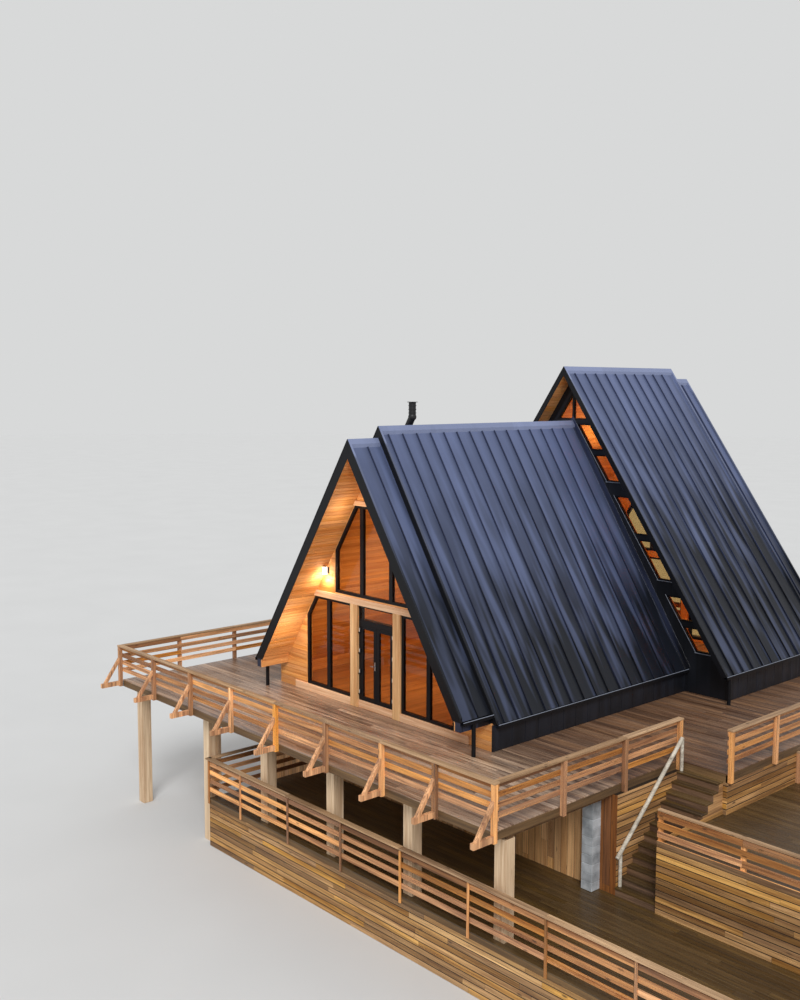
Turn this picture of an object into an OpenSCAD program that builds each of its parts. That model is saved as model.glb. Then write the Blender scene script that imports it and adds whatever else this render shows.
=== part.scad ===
// A-frame cabin on a timber terrace: four roof sections on one ridge line, a glazed
// front gable with a double door, an upper deck, a lower terrace and a side patio.
// The origin is on the ground, under the ridge, in the middle of the front base wall.
// +X is to the right of someone who faces the front gable, +Y runs back along the ridge.

/* [Levels] */
// Top of the upper deck above the ground
deck_level = 3700; // [3400:10:4200]
// Top of the lower terrace above the ground
lower_level = 1300; // [1100:10:1500]
// Drop from the upper deck to the side patio
patio_drop = 925; // [850:5:1050]
// Height of the cabin floor above the upper deck
floor_step = 150; // [100:10:180]

/* [Roof sections] */
// Ridge height of the main section above the deck
main_ridge_h = 7320; // [6800:10:7600]
// Height of the main eave above the deck
main_eave_h = 640; // [560:10:760]
// Slope of the main roof in degrees
main_slope = 57.9; // [57:0.1:60]
// Height of the tall section's ridge above the main ridge
tall_rise = 1610; // [1450:10:1900]
// Height of the tall eave above the deck
tall_eave_h = 780; // [700:10:900]
// Slope of the tall roof in degrees
tall_slope = 55.1; // [54.5:0.1:57]
// Thickness of the main and tall roofs
roof_t = 250; // [200:5:280]
// Thickness of the tall roof's overhang in front of its wall, without its lining
tall_verge_t = 60; // [50:5:100]
// Drop of the front hood's ridge below the main ridge
front_hood_drop = 300; // [240:10:340]
// Slope of the front hood in degrees
front_hood_slope = 57; // [56:0.1:57.6]
// Drop of the rear hood's ridge below the tall ridge
rear_hood_drop = 330; // [260:10:360]
// Height of the hoods' lowest edge above the deck
hood_eave_h = 620; // [560:10:700]
// Height of the upright fascia at the hoods' eaves
hood_fascia_h = 240; // [160:10:280]
// Thickness of the hood roofs without their lining
hood_t = 170; // [140:5:200]
// Thickness of the board lining under the hoods
lining_t = 30; // [20:1:40]
// Clearance between pieces that bear on each other on a slope or a stair
slope_seat = 0.1; // [0.05:0.05:0.5]
// Width of a standing-seam pan
pan_w = 490; // [420:5:600]
// Distance of the front hood's seam behind the verge
hood_seam_back = 570; // [400:10:650]
// Distance of the main roof's first seam behind its verge
main_seam_back = 255; // [200:5:480]
// Distance of the tall roof's first seam behind its verge
tall_seam_back = 385; // [200:5:480]
// Least width of the last pan of a roof
last_pan_w = 300; // [200:10:320]
// Height of a standing seam
seam_h = 38; // [25:1:50]
// Thickness of a standing seam
seam_t = 22; // [16:1:30]
// Width of the flashings on the ridges
ridge_flashing_w = 150; // [110:5:190]
// Width of the flashings along the verges
verge_flashing_w = 60; // [40:5:80]
// Thickness of the flashings
flashing_t = 14; // [8:1:20]

/* [Plan] */
// Depth of the front hood
front_hood_len = 1000; // [900:10:1100]
// Length of the main section up to the tall front wall
main_len = 7710; // [7200:10:8200]
// Overhang of the tall roof in front of its wall
tall_overhang = 470; // [380:10:520]
// Length of the tall section behind its front wall
tall_len = 4990; // [4500:10:5400]
// Depth of the rear hood
rear_hood_len = 910; // [800:10:1000]
// Distance from the front verge back to the middle of the front base wall
verge_ahead = 1400; // [1300:10:1500]
// How far the gable walls stand out of the roofs behind them
gable_out = 80; // [50:5:110]
// Thickness of the gable walls
gable_t = 180; // [140:5:220]
// How far the main eaves stand out of the plinth below them
main_eave_out = 40; // [20:1:90]
// How far the tall eaves stand out of the plinth below them
tall_eave_out = 185; // [100:5:240]
// Thickness of the plinth walls
plinth_t = 160; // [120:5:190]

/* [Gables] */
// Top of the pale sill under the lower windows above the deck
sill_h = 200; // [190:5:240]
// How far the sill and the timbers stand out of the gable
timber_out = 50; // [30:5:80]
// Width of a timber post beside the door
front_post_w = 280; // [220:5:320]
// Lower edge of the floor beam above the deck
beam_low_h = 2730; // [2690:5:2800]
// Distance from the ridge line to the ends of the sills
sill_x = 3400; // [3000:10:3500]
// Height of the floor beam
beam_h = 165; // [140:5:200]
// Outer edge of the lower windows from the ridge line
lower_win_x = 2900; // [2800:10:2950]
// Distance of the lower windows' mullions from the ridge line
lower_mullion_x = 1965; // [1800:10:2100]
// Distance from the floor beam's top up to the upper window
upper_win_gap = 35; // [25:5:90]
// Outer edge of the upper window from the ridge line
upper_win_x = 1650; // [1550:10:1700]
// Top of the upper window and foot of the collar beam above the deck
upper_win_top_h = 5340; // [5250:10:5400]
// Level distance from the front hood's surface to the windows' sloping edges
window_gap = 260; // [245:5:300]
// Distance of the upper window's mullions from the ridge line
upper_mullion_x = 570; // [480:10:650]
// Height of the collar beam over the upper window
collar_h = 130; // [100:5:150]
// Level distance from the front hood's surface to the apex pane's edges
apex_gap = 560; // [520:5:620]
// Width of the window frames
frame_w = 75; // [60:1:90]
// Depth of the window frames
frame_d = 90; // [70:5:110]
// Distance of the window frames behind the faces of their walls
frame_back = 5; // [2:1:40]
// Width of the members between two lights
mullion_w = 130; // [100:5:150]
// Thickness of the window panes
glass_t = 24; // [16:1:32]

/* [Door] */
// Half the width of the doorway between its timber posts
door_half_w = 700; // [660:5:720]
// Width of the door frame's jambs
jamb_w = 50; // [40:1:60]
// Top of the door leaves above the deck
leaf_top_h = 2190; // [2100:5:2250]
// Height of the rail over the door leaves
head_rail_h = 160; // [120:5:200]
// Gap round a door leaf
leaf_gap = 6; // [5.5:0.5:9]
// Thickness of a door leaf
leaf_t = 62; // [50:1:70]
// Width of a leaf's stiles
stile_w = 110; // [90:1:125]
// Height of a leaf's top rail
top_rail_h = 80; // [60:5:120]
// Height of a leaf's bottom rail
bottom_rail_h = 100; // [90:5:240]
// Number of hinges on a leaf
leaf_hinges = 4; // [2:1:4]
// Distance from a leaf's foot and top to the lowest and highest hinges' feet
hinge_inset = 170; // [150:5:300]
// Radius of the hinge knuckles
knuckle_r = 11; // [8:0.5:13]
// Length of a hinge knuckle
hinge_h = 110; // [80:5:140]
// Radius of a hinge pin
pin_r = 5; // [4:0.5:6]
// Radial play of a knuckle on its pin
pin_fit = 0.08; // [0.05:0.01:0.1]
// Gap between a knuckle and the lug under it
pin_gap = 0.3; // [0.2:0.1:0.5]
// Height of the lug under a knuckle
lug_h = 35; // [25:1:45]
// Distance of the leaves behind the face of the gable
leaf_setback = 25; // [10:1:40]
// Height of the door handle above the deck
handle_h = 1200; // [1000:10:1300]
// Diameter of the handle's stem
handle_d = 20; // [16:1:24]
// Reach of the handle from the leaf
handle_reach = 50; // [40:1:60]
// Length of the lever
handle_l = 125; // [100:5:140]
// Height of the handle's plate
handle_plate_h = 220; // [160:5:260]

/* [Glazed strip] */
// Distance from the tall roof to the glazed strip's inner edge, measured level
strip_inset = 985; // [950:5:1020]
// Width of the glazed strip, measured level
strip_w = 560; // [500:5:600]
// Bottom of the lowest pane above the deck
strip_low_h = 1150; // [1050:10:1250]
// Distance from the tall ridge down to the highest slanted pane
strip_top_drop = 1600; // [1560:10:1640]
// Height of the solid bands between the storeys
strip_band_h = 380; // [300:10:440]
// Height of the bars between two panes
strip_bar_h = 115; // [80:5:150]
// Width of the strip's frames
strip_frame_w = 45; // [35:1:60]

/* [Upper deck] */
// Distance from the ridge line to the deck's side edges
deck_side_x = 7300; // [7200:10:7400]
// Distance from the front verge to the deck's front edge
deck_ahead = 2400; // [2300:10:2500]
// Distance from the ridge line to the deck's edge beside the patio
deck_jog_x = 8550; // [8500:10:8650]
// Distance behind the front verge at which the deck steps out
deck_jog_back = 3700; // [3600:10:3800]
// Distance from the rear hood's end to the deck's rear edge
deck_behind = 400; // [300:10:600]
// Thickness of the upper deck
deck_t = 200; // [160:5:240]
// Side of the square deck posts
deck_post_w = 280; // [240:5:300]
// Distance from the deck's front edge to its posts
deck_post_setback = 400; // [350:10:460]
// Distance from one front deck post to the next
deck_post_pitch = 2650; // [2600:1:2680]
// Number of front deck posts that stand on the lower terrace
terrace_posts = 4; // [3:1:4]
// Height of the beams on the deck posts
deck_beam_h = 110; // [90:5:140]
// Width of the beams on the deck posts
deck_beam_w = 160; // [120:5:200]
// Distance of the side posts and beam ends from the deck's edges
edge_gap = 70; // [50:5:90]

/* [Base and lower terrace] */
// Distance from the ridge line to the outer face of the left base wall
base_left_x = 5500; // [5300:10:5600]
// Thickness of the base walls
base_t = 200; // [160:5:240]
// Width of the pier of blocks in front of the base wall
pier_w = 290; // [260:5:320]
// Depth of the pier
pier_d = 280; // [240:5:300]
// Distance from the pier to the base wall's right end
pier_end = 410; // [395:5:500]
// Distance behind the front verge of the front base wall
base_back = 1300; // [1280:5:1320]
// Distance from the ridge line to the terrace's left end
lower_left_x = 3150; // [3000:10:3250]
// Distance from the ridge line to the right end of the terrace and the patio
terrace_right_x = 14200; // [13400:10:14600]
// Distance from the front verge to the terrace's front edge
lower_ahead = 2150; // [2120:10:2250]
// Thickness of the terrace and patio floors
terrace_t = 150; // [120:5:180]
// Thickness of the boarded walls
board_wall_t = 100; // [80:5:120]
// Distance behind the front verge of the patio's front face
patio_front_y = 1250; // [1240:5:1270]
// Distance behind the front verge of the patio's rear end
patio_back = 6800; // [6400:10:7200]
// Height of the patio's fence above its floor
fence_h = 760; // [650:5:900]
// Height of the closed part of the fence
fence_closed_h = 90; // [60:5:140]
// Height of a board in the open part of the fence
fence_board_h = 130; // [110:5:150]

/* [Railings] */
// Height of the railings above their floor
rail_h = 1000; // [980:5:1100]
// Height of the lower terrace's railing
lower_rail_h = 1080; // [1060:5:1150]
// Side of the square railing posts
rail_post_w = 100; // [80:5:110]
// Number of bays in the front railing
front_bays = 8; // [7:1:9]
// Width of the two bays at the right end of the front railing
front_end_bay_w = 1620; // [1500:10:1800]
// Greatest width of a bay in the other railings
bay_w = 2050; // [1900:10:2200]
// Height of a railing board
rail_board_h = 115; // [100:5:130]
// Thickness of a railing board
rail_board_t = 32; // [25:1:40]
// Number of boards in a railing
rail_boards = 4; // [3:1:4]
// Distance from one railing board to the next
rail_pitch = 205; // [190:5:215]
// Thickness of the railing cap
rail_cap_t = 40; // [30:1:50]
// Width of the railing cap
rail_cap_w = 150; // [140:5:170]
// Width of the battens that carry the lower terrace's railing
batten_w = 60; // [50:5:80]
// Thickness of the battens
batten_t = 30; // [25:1:40]
// Width of the first bay at the left end of the lower terrace's railing
lower_first_bay_w = 1500; // [1300:10:1800]
// Width of the bays that follow it
lower_bay_w = 2020; // [1900:10:2100]
// Gap between the lower railing's cap and its first board
lower_board_gap = 60; // [40:5:80]
// Distance from one board of the lower railing to the next
lower_board_pitch = 230; // [220:5:240]
// Reach of the outriggers beyond the deck's edge
outrigger_reach = 650; // [550:10:700]
// Height of an outrigger
outrigger_h = 120; // [100:5:140]
// Width of an outrigger and its brace
outrigger_w = 90; // [70:5:100]
// Distance of an outrigger below the deck's top
outrigger_drop = 40; // [30:5:60]
// Height above the deck at which a brace meets its post
brace_h = 640; // [560:10:720]

/* [Stair] */
// Number of risers from the upper deck to the lower terrace
risers = 13; // [12:1:14]
// Thickness of a tread
tread_t = 45; // [35:1:55]
// Thickness of a riser board
riser_t = 28; // [20:1:35]
// Overhang of a tread beyond its riser
nosing = 20; // [10:1:30]
// Thickness of the stair's cheeks
cheek_t = 60; // [50:1:70]
// Diameter of the round handrail pole
pole_d = 90; // [70:5:100]
// Height of the handrail above the stair's nosings
pole_h = 830; // [780:10:900]
// Diameter of the round posts under the handrail
pole_post_d = 80; // [60:2:90]

/* [Rainwater and flue] */
// Diameter of the downpipes
pipe_d = 100; // [80:5:105]
// Distance of the hoods' downpipes behind the verges
pipe_back = 380; // [200:10:500]
// Distance of the tall roof's downpipe behind its verge
tall_pipe_back = 190; // [100:10:300]
// Width of the gutters
gutter_w = 110; // [100:5:130]
// Height of the gutters
gutter_h = 80; // [70:5:95]
// Thickness of the gutters
gutter_t = 5; // [4:0.5:8]
// Diameter of the flue
flue_d = 190; // [160:5:220]
// Distance of the flue behind the front verge
flue_back = 2400; // [2200:10:2440]
// Distance of the flue's sloping part from the roof
flue_off = 370; // [300:10:420]
// How far the flue's sloping part runs up past the ridge
flue_lead = 120; // [80:10:160]
// Distance down the slope at which the flue leaves the roof
flue_down = 1700; // [1400:10:2200]
// Distance down the slope of the bracket that holds the flue
flue_bracket_down = 425; // [300:5:600]
// Number of joint rings on the flue's upright part
flue_rings = 3; // [2:1:4]
// Width of the flue's collars and bracket
flue_collar = 45; // [35:1:55]
// Height of the flue's top above the main ridge
flue_above = 680; // [620:10:740]

/* [Hidden] */
$fn = 48;
black_c = "#23262c";
roof_c = "#2f3440";
pine_c = "#e09a4a";
pale_c = "#e3c095";
board_c = "#6b4a33";
rail_c = "#b5823f";
wall_c = "#8a6a3a";
concrete_c = "#8f9499";
glass_c = "#6d7f88";
steel_c = "#d9dcdf";
// Small overlap used only to cut cleanly through a face
cut = 20;
main_y = front_hood_len;
tall_y = main_y + main_len;
verge_tall_y = tall_y - tall_overhang;
rear_y = tall_y + tall_len;
rear_end_y = rear_y + rear_hood_len;
deck_rear_y = rear_end_y + deck_behind;
front_face_y = main_y - gable_out;
rear_face_y = rear_y + gable_out;
tall_ridge_h = main_ridge_h + tall_rise;
front_hood_ridge_h = main_ridge_h - front_hood_drop;
rear_hood_ridge_h = tall_ridge_h - rear_hood_drop;
hood_all_t = hood_t + lining_t;
terrace_z = lower_level - deck_level;
ground_z = -deck_level;
deck_under = -deck_t;
beam_under = deck_under - deck_beam_h;
patio_z = -patio_drop;
patio_x = deck_jog_x - board_wall_t;
rise = (deck_level - lower_level) / risers;
going = (deck_jog_back - base_back) / (risers - 1);

// Half width of a roof at height z, t below its outer surface
function roof_x(ridge, slope, z, t = 0) = (ridge - t / cos(slope) - z) / tan(slope);
// Height of a roof's surface at x, t below its outer surface
function roof_z(ridge, slope, x, t = 0) = ridge - t / cos(slope) - x * tan(slope);

main_eave_x = roof_x(main_ridge_h, main_slope, main_eave_h);
tall_eave_x = roof_x(tall_ridge_h, tall_slope, tall_eave_h);
// Outer faces of the plinths
main_plinth_x = main_eave_x - main_eave_out;
tall_plinth_x = tall_eave_x - tall_eave_out;
front_hood_x = roof_x(front_hood_ridge_h, front_hood_slope, hood_eave_h + hood_fascia_h);
rear_hood_x = roof_x(rear_hood_ridge_h, tall_slope, hood_eave_h + hood_fascia_h);

// Moves what is drawn from the deck and the front verge to the ground and the base wall
module at_deck() {
    translate([0, -verge_ahead, deck_level]) children();
}

// Extrudes a profile drawn in X and Z from y0 back to y1
module along_y(y0, y1) {
    translate([0, y1, 0]) rotate([90, 0, 0]) linear_extrude(height = y1 - y0) children();
}

// Draws its children on the right and mirrored on the left
module both_sides() {
    children();
    mirror([1, 0, 0]) children();
}

// Area under a roof's surface, t below its outer face, down to height low
module under_roof(ridge, slope, t, low) {
    x = roof_x(ridge, slope, low, t);
    top = roof_z(ridge, slope, 0, t);
    polygon([[-x, low], [x, low], [0, top]]);
}

// Section of a roof with level cut eaves
module roof_section(ridge, slope, t, eave) {
    difference() {
        under_roof(ridge, slope, 0, eave);
        translate([0, -cut]) under_roof(ridge, slope, t - cut * cos(slope), eave);
    }
}

// Area under a hood's surface with an upright fascia
module hood_area(ridge, slope, t) {
    x = roof_x(ridge, slope, hood_eave_h + hood_fascia_h) - t;
    intersection() {
        under_roof(ridge, slope, t, hood_eave_h);
        translate([-x, hood_eave_h]) square([2 * x, ridge]);
    }
}

// Hollow of a hood, run on below its edge so that it cuts cleanly
module hood_hollow(ridge, slope, t) {
    x = roof_x(ridge, slope, hood_eave_h + hood_fascia_h) - t;
    intersection() {
        under_roof(ridge, slope, t - cut * cos(slope), hood_eave_h - cut);
        translate([-x, hood_eave_h - cut]) square([2 * x, ridge + cut]);
    }
}

// Section of a layer of a hood from depth t0 to depth t1
module hood_section(ridge, slope, t0, t1) {
    difference() {
        hood_area(ridge, slope, t0);
        translate([0, -cut]) hood_hollow(ridge, slope, t1);
    }
}

// Rectangular wall piece in X and Z
module panel(x0, x1, z0, z1) {
    translate([x0, z0]) square([x1 - x0, z1 - z0]);
}

// Box between two corners
module box(x0, x1, y0, y1, z0, z1) {
    translate([x0, y0, z0]) cube([x1 - x0, y1 - y0, z1 - z0]);
}

doorway_x = door_half_w + front_post_w;
upper_win_low_h = beam_low_h + beam_h + upper_win_gap;
apex_low_h = upper_win_top_h + collar_h;

// Area for the gable's lights: a level gap inside the front hood's surface, less an inset
module light_area(gap, inset) {
    h = front_hood_ridge_h;
    shift = gap + inset / sin(front_hood_slope);
    x = roof_x(h, front_hood_slope, 0) - shift;
    polygon([[-x, 0], [x, 0], [0, roof_z(h, front_hood_slope, shift)]]);
}

// Outline of the lower right gable window, drawn in by an inset
module lower_window(inset = 0) {
    intersection() {
        light_area(window_gap, inset);
        panel(doorway_x + inset, lower_win_x - inset, sill_h + inset, beam_low_h - inset);
    }
}

// Outline of the upper gable window, drawn in by an inset
module upper_window(inset = 0) {
    x = upper_win_x - inset;
    intersection() {
        light_area(window_gap, inset);
        panel(-x, x, upper_win_low_h + inset, upper_win_top_h - inset);
    }
}

// Outline of the apex window, drawn in by an inset
module apex_window(inset = 0) {
    intersection() {
        light_area(apex_gap, inset);
        panel(-doorway_x, doorway_x, apex_low_h + inset, front_hood_ridge_h);
    }
}

// Outline of the wide lower window in the middle of the rear gable
module rear_window(inset = 0) {
    x = door_half_w - inset;
    panel(-x, x, sill_h + inset, beam_low_h - inset);
}

// Upright member around x between two heights
module mullion(x, z0, z1) {
    panel(x - mullion_w / 2, x + mullion_w / 2, z0, z1);
}

// All the panes of a gable above the door, or their openings with no inset
module gable_lights(inset, mullions) {
    difference() {
        union() {
            both_sides() lower_window(inset);
            upper_window(inset);
            apex_window(inset);
        }
        if (mullions) both_sides() {
            mullion(lower_mullion_x, sill_h, beam_low_h);
            mullion(upper_mullion_x, upper_win_low_h, upper_win_top_h);
        }
    }
}

// Inner edge of the glazed strip at height z
function strip_x(z) = roof_x(tall_ridge_h, tall_slope, z) - strip_inset;

// One slanted pane of the glazed strip on the right, drawn in by an inset
module strip_pane(z0, z1, inset) {
    a = z0 + inset;
    b = z1 - inset;
    polygon([[strip_x(a) + inset, a], [strip_x(a) + strip_w - inset, a],
        [strip_x(b) + strip_w - inset, b], [strip_x(b) + inset, b]]);
}

strip_floor_h = beam_low_h + beam_h / 2;
strip_collar_h = apex_low_h;
strip_top_h = tall_ridge_h - strip_top_drop;
// Lower and upper ends of the strip's panes, a pair to each storey
strip_storeys = [[strip_low_h, strip_floor_h - strip_band_h / 2],
    [strip_floor_h + strip_band_h / 2, strip_collar_h - strip_band_h / 2],
    [strip_collar_h + strip_band_h / 2, strip_top_h]];
strip_tip_h = tall_ridge_h - (strip_inset - strip_w) * tan(tall_slope);
strip_tip_low_h = strip_top_h + strip_bar_h;

// The pair of top panes over the main ridge
module strip_tip(inset) {
    s = tall_slope;
    low = strip_tip_low_h + inset;
    top = strip_tip_h - inset / cos(s);
    x = (top - low) / tan(s);
    polygon([[-x, low], [x, low], [0, top]]);
}

// The panes of both glazed strips, or their openings with no inset
module strip_lights(inset) {
    both_sides() for (storey = strip_storeys) {
        middle = (storey[0] + storey[1]) / 2;
        strip_pane(storey[0], middle - strip_bar_h / 2, inset);
        strip_pane(middle + strip_bar_h / 2, storey[1], inset);
    }
    difference() {
        strip_tip(inset);
        if (inset > 0) panel(-frame_w / 2, frame_w / 2, strip_tip_low_h, strip_tip_h);
    }
}

// Body of the front gable wall without its openings
module front_wall_body() {
    along_y(front_face_y, main_y) {
        hood_area(front_hood_ridge_h, front_hood_slope, hood_all_t + slope_seat);
        panel(-main_plinth_x, main_plinth_x, 0, hood_eave_h);
    }
    along_y(main_y, front_face_y + gable_t) {
        under_roof(main_ridge_h, main_slope, roof_t, main_eave_h);
        panel(-main_plinth_x, main_plinth_x, 0, main_eave_h);
    }
}

// The front gable wall with its openings, kept between two heights and widths
module front_wall(x0, x1, z0, z1) {
    intersection() {
        difference() {
            front_wall_body();
            along_y(front_face_y - cut, main_y + gable_t) gable_lights(0, false);
        }
        box(x0, x1, front_face_y - cut, main_y + gable_t, z0, z1);
    }
}

module front_wall_left() {
    color(pine_c) at_deck() front_wall(-main_plinth_x, -doorway_x, 0, beam_low_h);
}

module front_wall_right() {
    color(pine_c) at_deck() front_wall(doorway_x, main_plinth_x, 0, beam_low_h);
}

module front_wall_upper() {
    color(pine_c) at_deck() front_wall(-main_plinth_x, main_plinth_x, beam_low_h, main_ridge_h);
}

module tall_wall() {
    color(black_c) at_deck() along_y(tall_y, tall_y + gable_t) difference() {
        union() {
            under_roof(tall_ridge_h, tall_slope, roof_t + slope_seat, tall_eave_h);
            panel(-tall_plinth_x, tall_plinth_x, 0, tall_eave_h);
        }
        under_roof(main_ridge_h, main_slope, roof_t, main_eave_h);
        x = main_plinth_x - plinth_t;
        translate([0, -cut]) panel(-x, x, 0, main_eave_h + cut);
        strip_lights(0);
    }
}

module rear_wall() {
    color(black_c) at_deck() difference() {
        union() {
            along_y(rear_y, rear_face_y) {
                hood_area(rear_hood_ridge_h, tall_slope, hood_all_t + slope_seat);
                panel(-tall_plinth_x, tall_plinth_x, 0, hood_eave_h);
            }
            along_y(rear_face_y - gable_t, rear_y) {
                under_roof(tall_ridge_h, tall_slope, roof_t + slope_seat, tall_eave_h);
                panel(-tall_plinth_x, tall_plinth_x, 0, tall_eave_h);
            }
        }
        along_y(rear_y - gable_t, rear_face_y + cut) {
            gable_lights(0, false);
            rear_window();
        }
    }
}

module plinths() {
    color(black_c) at_deck() both_sides() {
        box(main_plinth_x - plinth_t, main_plinth_x, front_face_y + gable_t, tall_y,
            0, main_eave_h);
        box(tall_plinth_x - plinth_t, tall_plinth_x, tall_y + gable_t, rear_face_y - gable_t,
            0, tall_eave_h);
    }
}

module main_roof() {
    color(roof_c) at_deck() along_y(main_y, tall_y)
        roof_section(main_ridge_h, main_slope, roof_t, main_eave_h);
}

module tall_roof() {
    color(roof_c) at_deck() {
        along_y(verge_tall_y, tall_y)
            roof_section(tall_ridge_h, tall_slope, tall_verge_t, tall_eave_h);
        along_y(tall_y, rear_y)
            roof_section(tall_ridge_h, tall_slope, roof_t, tall_eave_h);
    }
}

module hoods() {
    color(roof_c) at_deck() {
        along_y(0, main_y)
            hood_section(front_hood_ridge_h, front_hood_slope, 0, hood_t);
        along_y(rear_y, rear_end_y)
            hood_section(rear_hood_ridge_h, tall_slope, 0, hood_t);
    }
}

// Boards under both hoods and under the tall roof's overhang in front of its wall
module soffit_linings() {
    color(pine_c) at_deck() {
        along_y(0, main_y)
            hood_section(front_hood_ridge_h, front_hood_slope, hood_t + slope_seat,
                hood_all_t);
        along_y(verge_tall_y, tall_y) difference() {
            depth = tall_verge_t + lining_t - cut * cos(tall_slope);
            under_roof(tall_ridge_h, tall_slope, tall_verge_t + slope_seat, tall_eave_h);
            translate([0, -cut]) under_roof(tall_ridge_h, tall_slope, depth, tall_eave_h);
        }
        along_y(rear_y, rear_end_y)
            hood_section(rear_hood_ridge_h, tall_slope, hood_t + slope_seat, hood_all_t);
    }
}

// Places children on the right slope: X runs down it from the ridge, Z stands on it
module on_slope(ridge, slope) {
    translate([0, 0, ridge]) rotate([0, slope, 0]) children();
}

// Seams on the right slope of one roof section, a pan apart from the first one
module seam_row(ridge, slope, eave_x, first, y1) {
    length = eave_x / cos(slope) - ridge_flashing_w;
    on_slope(ridge, slope) for (y = [first:pan_w:y1 - last_pan_w])
        translate([ridge_flashing_w, y - seam_t / 2, slope_seat])
            cube([length, seam_t, seam_h]);
}

module roof_seams() {
    color(roof_c) at_deck() both_sides() {
        first_tall_y = verge_tall_y + tall_seam_back;
        seam_row(front_hood_ridge_h, front_hood_slope, front_hood_x, hood_seam_back, main_y);
        seam_row(main_ridge_h, main_slope, main_eave_x, main_y + main_seam_back, tall_y);
        seam_row(tall_ridge_h, tall_slope, tall_eave_x, first_tall_y, rear_y);
        seam_row(rear_hood_ridge_h, tall_slope, rear_hood_x, rear_y + pan_w, rear_end_y);
    }
}

// Section of a flashing over the ridge, out to x on both slopes
module flashing_section(ridge, slope, x) {
    up = -(seam_h + flashing_t);
    foot = roof_z(ridge, slope, x, -slope_seat);
    polygon([[0, roof_z(ridge, slope, 0, up)], [x, roof_z(ridge, slope, x, up)], [x, foot],
        [0, roof_z(ridge, slope, 0, -slope_seat)], [-x, foot],
        [-x, roof_z(ridge, slope, x, up)]]);
}

// Ridge flashing of one roof section, with verge flashings of the widths front and rear
module flashings(ridge, slope, eave_x, y0, y1, front, rear) {
    along_y(y0, y1) flashing_section(ridge, slope, ridge_flashing_w * cos(slope));
    if (front > 0) along_y(y0, y0 + front) flashing_section(ridge, slope, eave_x);
    if (rear > 0) along_y(y1 - rear, y1) flashing_section(ridge, slope, eave_x);
}

module roof_flashings() {
    v = verge_flashing_w;
    color(roof_c) at_deck() {
        flashings(front_hood_ridge_h, front_hood_slope, front_hood_x, 0, main_y, v, 0);
        flashings(main_ridge_h, main_slope, main_eave_x, main_y, tall_y, v, 0);
        flashings(tall_ridge_h, tall_slope, tall_eave_x, verge_tall_y, rear_y, v, v);
        flashings(rear_hood_ridge_h, tall_slope, rear_hood_x, rear_y, rear_end_y, 0, v);
    }
}

// Section of a gutter that starts at x with its top at height z
module gutter_section(x, z) {
    difference() {
        panel(x, x + gutter_w, z - gutter_h, z);
        panel(x + gutter_t, x + gutter_w - gutter_t, z - gutter_h + gutter_t, z + cut);
    }
}

// Downpipe from the gutter that starts at x, down to the deck
module downpipe(x, y, z) {
    translate([x + gutter_w / 2, y, 0]) cylinder(d = pipe_d, h = z - gutter_h + gutter_t / 2);
}

hood_gutter_h = hood_eave_h + hood_fascia_h;

module rainwater() {
    color(black_c) at_deck() both_sides() {
        along_y(0, main_y) gutter_section(front_hood_x, hood_gutter_h);
        downpipe(front_hood_x, pipe_back, hood_gutter_h);
        main_x = max(main_plinth_x, main_eave_x - gutter_w / 2);
        along_y(main_y, tall_y) gutter_section(main_x, main_eave_h);
        tall_x = tall_eave_x - gutter_w / 2;
        along_y(verge_tall_y, rear_y) gutter_section(tall_x, tall_eave_h);
        downpipe(tall_x, verge_tall_y + tall_pipe_back, tall_eave_h);
        along_y(rear_y, rear_end_y) gutter_section(rear_hood_x, hood_gutter_h);
        downpipe(rear_hood_x, rear_end_y - pipe_back, hood_gutter_h);
    }
}

flue_r = flue_d / 2;
// Radius of the flue's elbows and rings
flue_ring_r = flue_r + flashing_t;

// Stove flue: it leaves the left slope square, climbs along it past the ridge, and ends upright
module flue() {
    knee_x = flue_off * sin(main_slope) - flue_lead * cos(main_slope);
    knee_h = main_ridge_h + flue_lead * sin(main_slope) + flue_off * cos(main_slope);
    upright = main_ridge_h + flue_above - knee_h;
    color(black_c) at_deck() {
        mirror([1, 0, 0]) on_slope(main_ridge_h, main_slope) translate([0, flue_back, 0]) {
            translate([-flue_lead, 0, flue_off])
                rotate([0, 90, 0]) cylinder(r = flue_r, h = flue_lead + flue_down);
            translate([flue_down, 0, flue_off]) sphere(r = flue_ring_r);
            translate([flue_down, 0, slope_seat]) {
                cylinder(r = flue_r, h = flue_off);
                cylinder(r = flue_r + flue_collar, h = flue_collar);
            }
            translate([flue_bracket_down, -flue_collar / 2, slope_seat])
                cube([flue_collar, flue_collar, flue_off]);
        }
        translate([-knee_x, flue_back, knee_h]) {
            sphere(r = flue_ring_r);
            cylinder(r = flue_r, h = upright);
            for (k = [1:flue_rings]) translate([0, 0, upright * k / (flue_rings + 1)])
                cylinder(r = flue_ring_r, h = flashing_t);
            translate([0, 0, upright]) cylinder(r = flue_r + flue_collar, h = flashing_t);
        }
    }
}

module gable_timbers() {
    color(pale_c) at_deck() {
        both_sides() box(door_half_w, doorway_x, front_face_y - timber_out,
            front_face_y + gable_t, 0, beam_low_h);
        box(-door_half_w, door_half_w, front_face_y, front_face_y + gable_t, 0, sill_h);
        along_y(front_face_y - timber_out, front_face_y) intersection() {
            hood_area(front_hood_ridge_h, front_hood_slope, hood_all_t + slope_seat);
            union() {
                panel(-main_plinth_x, main_plinth_x, beam_low_h, beam_low_h + beam_h);
                panel(-main_plinth_x, main_plinth_x, upper_win_top_h, apex_low_h);
            }
        }
        both_sides() box(doorway_x, sill_x, front_face_y - timber_out, front_face_y, 0, sill_h);
    }
}

frame_y = front_face_y + frame_back;
rear_frame_y = rear_face_y - frame_back - frame_d;
strip_frame_y = tall_y + frame_back;
transom_low_h = leaf_top_h + leaf_gap + head_rail_h;

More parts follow.
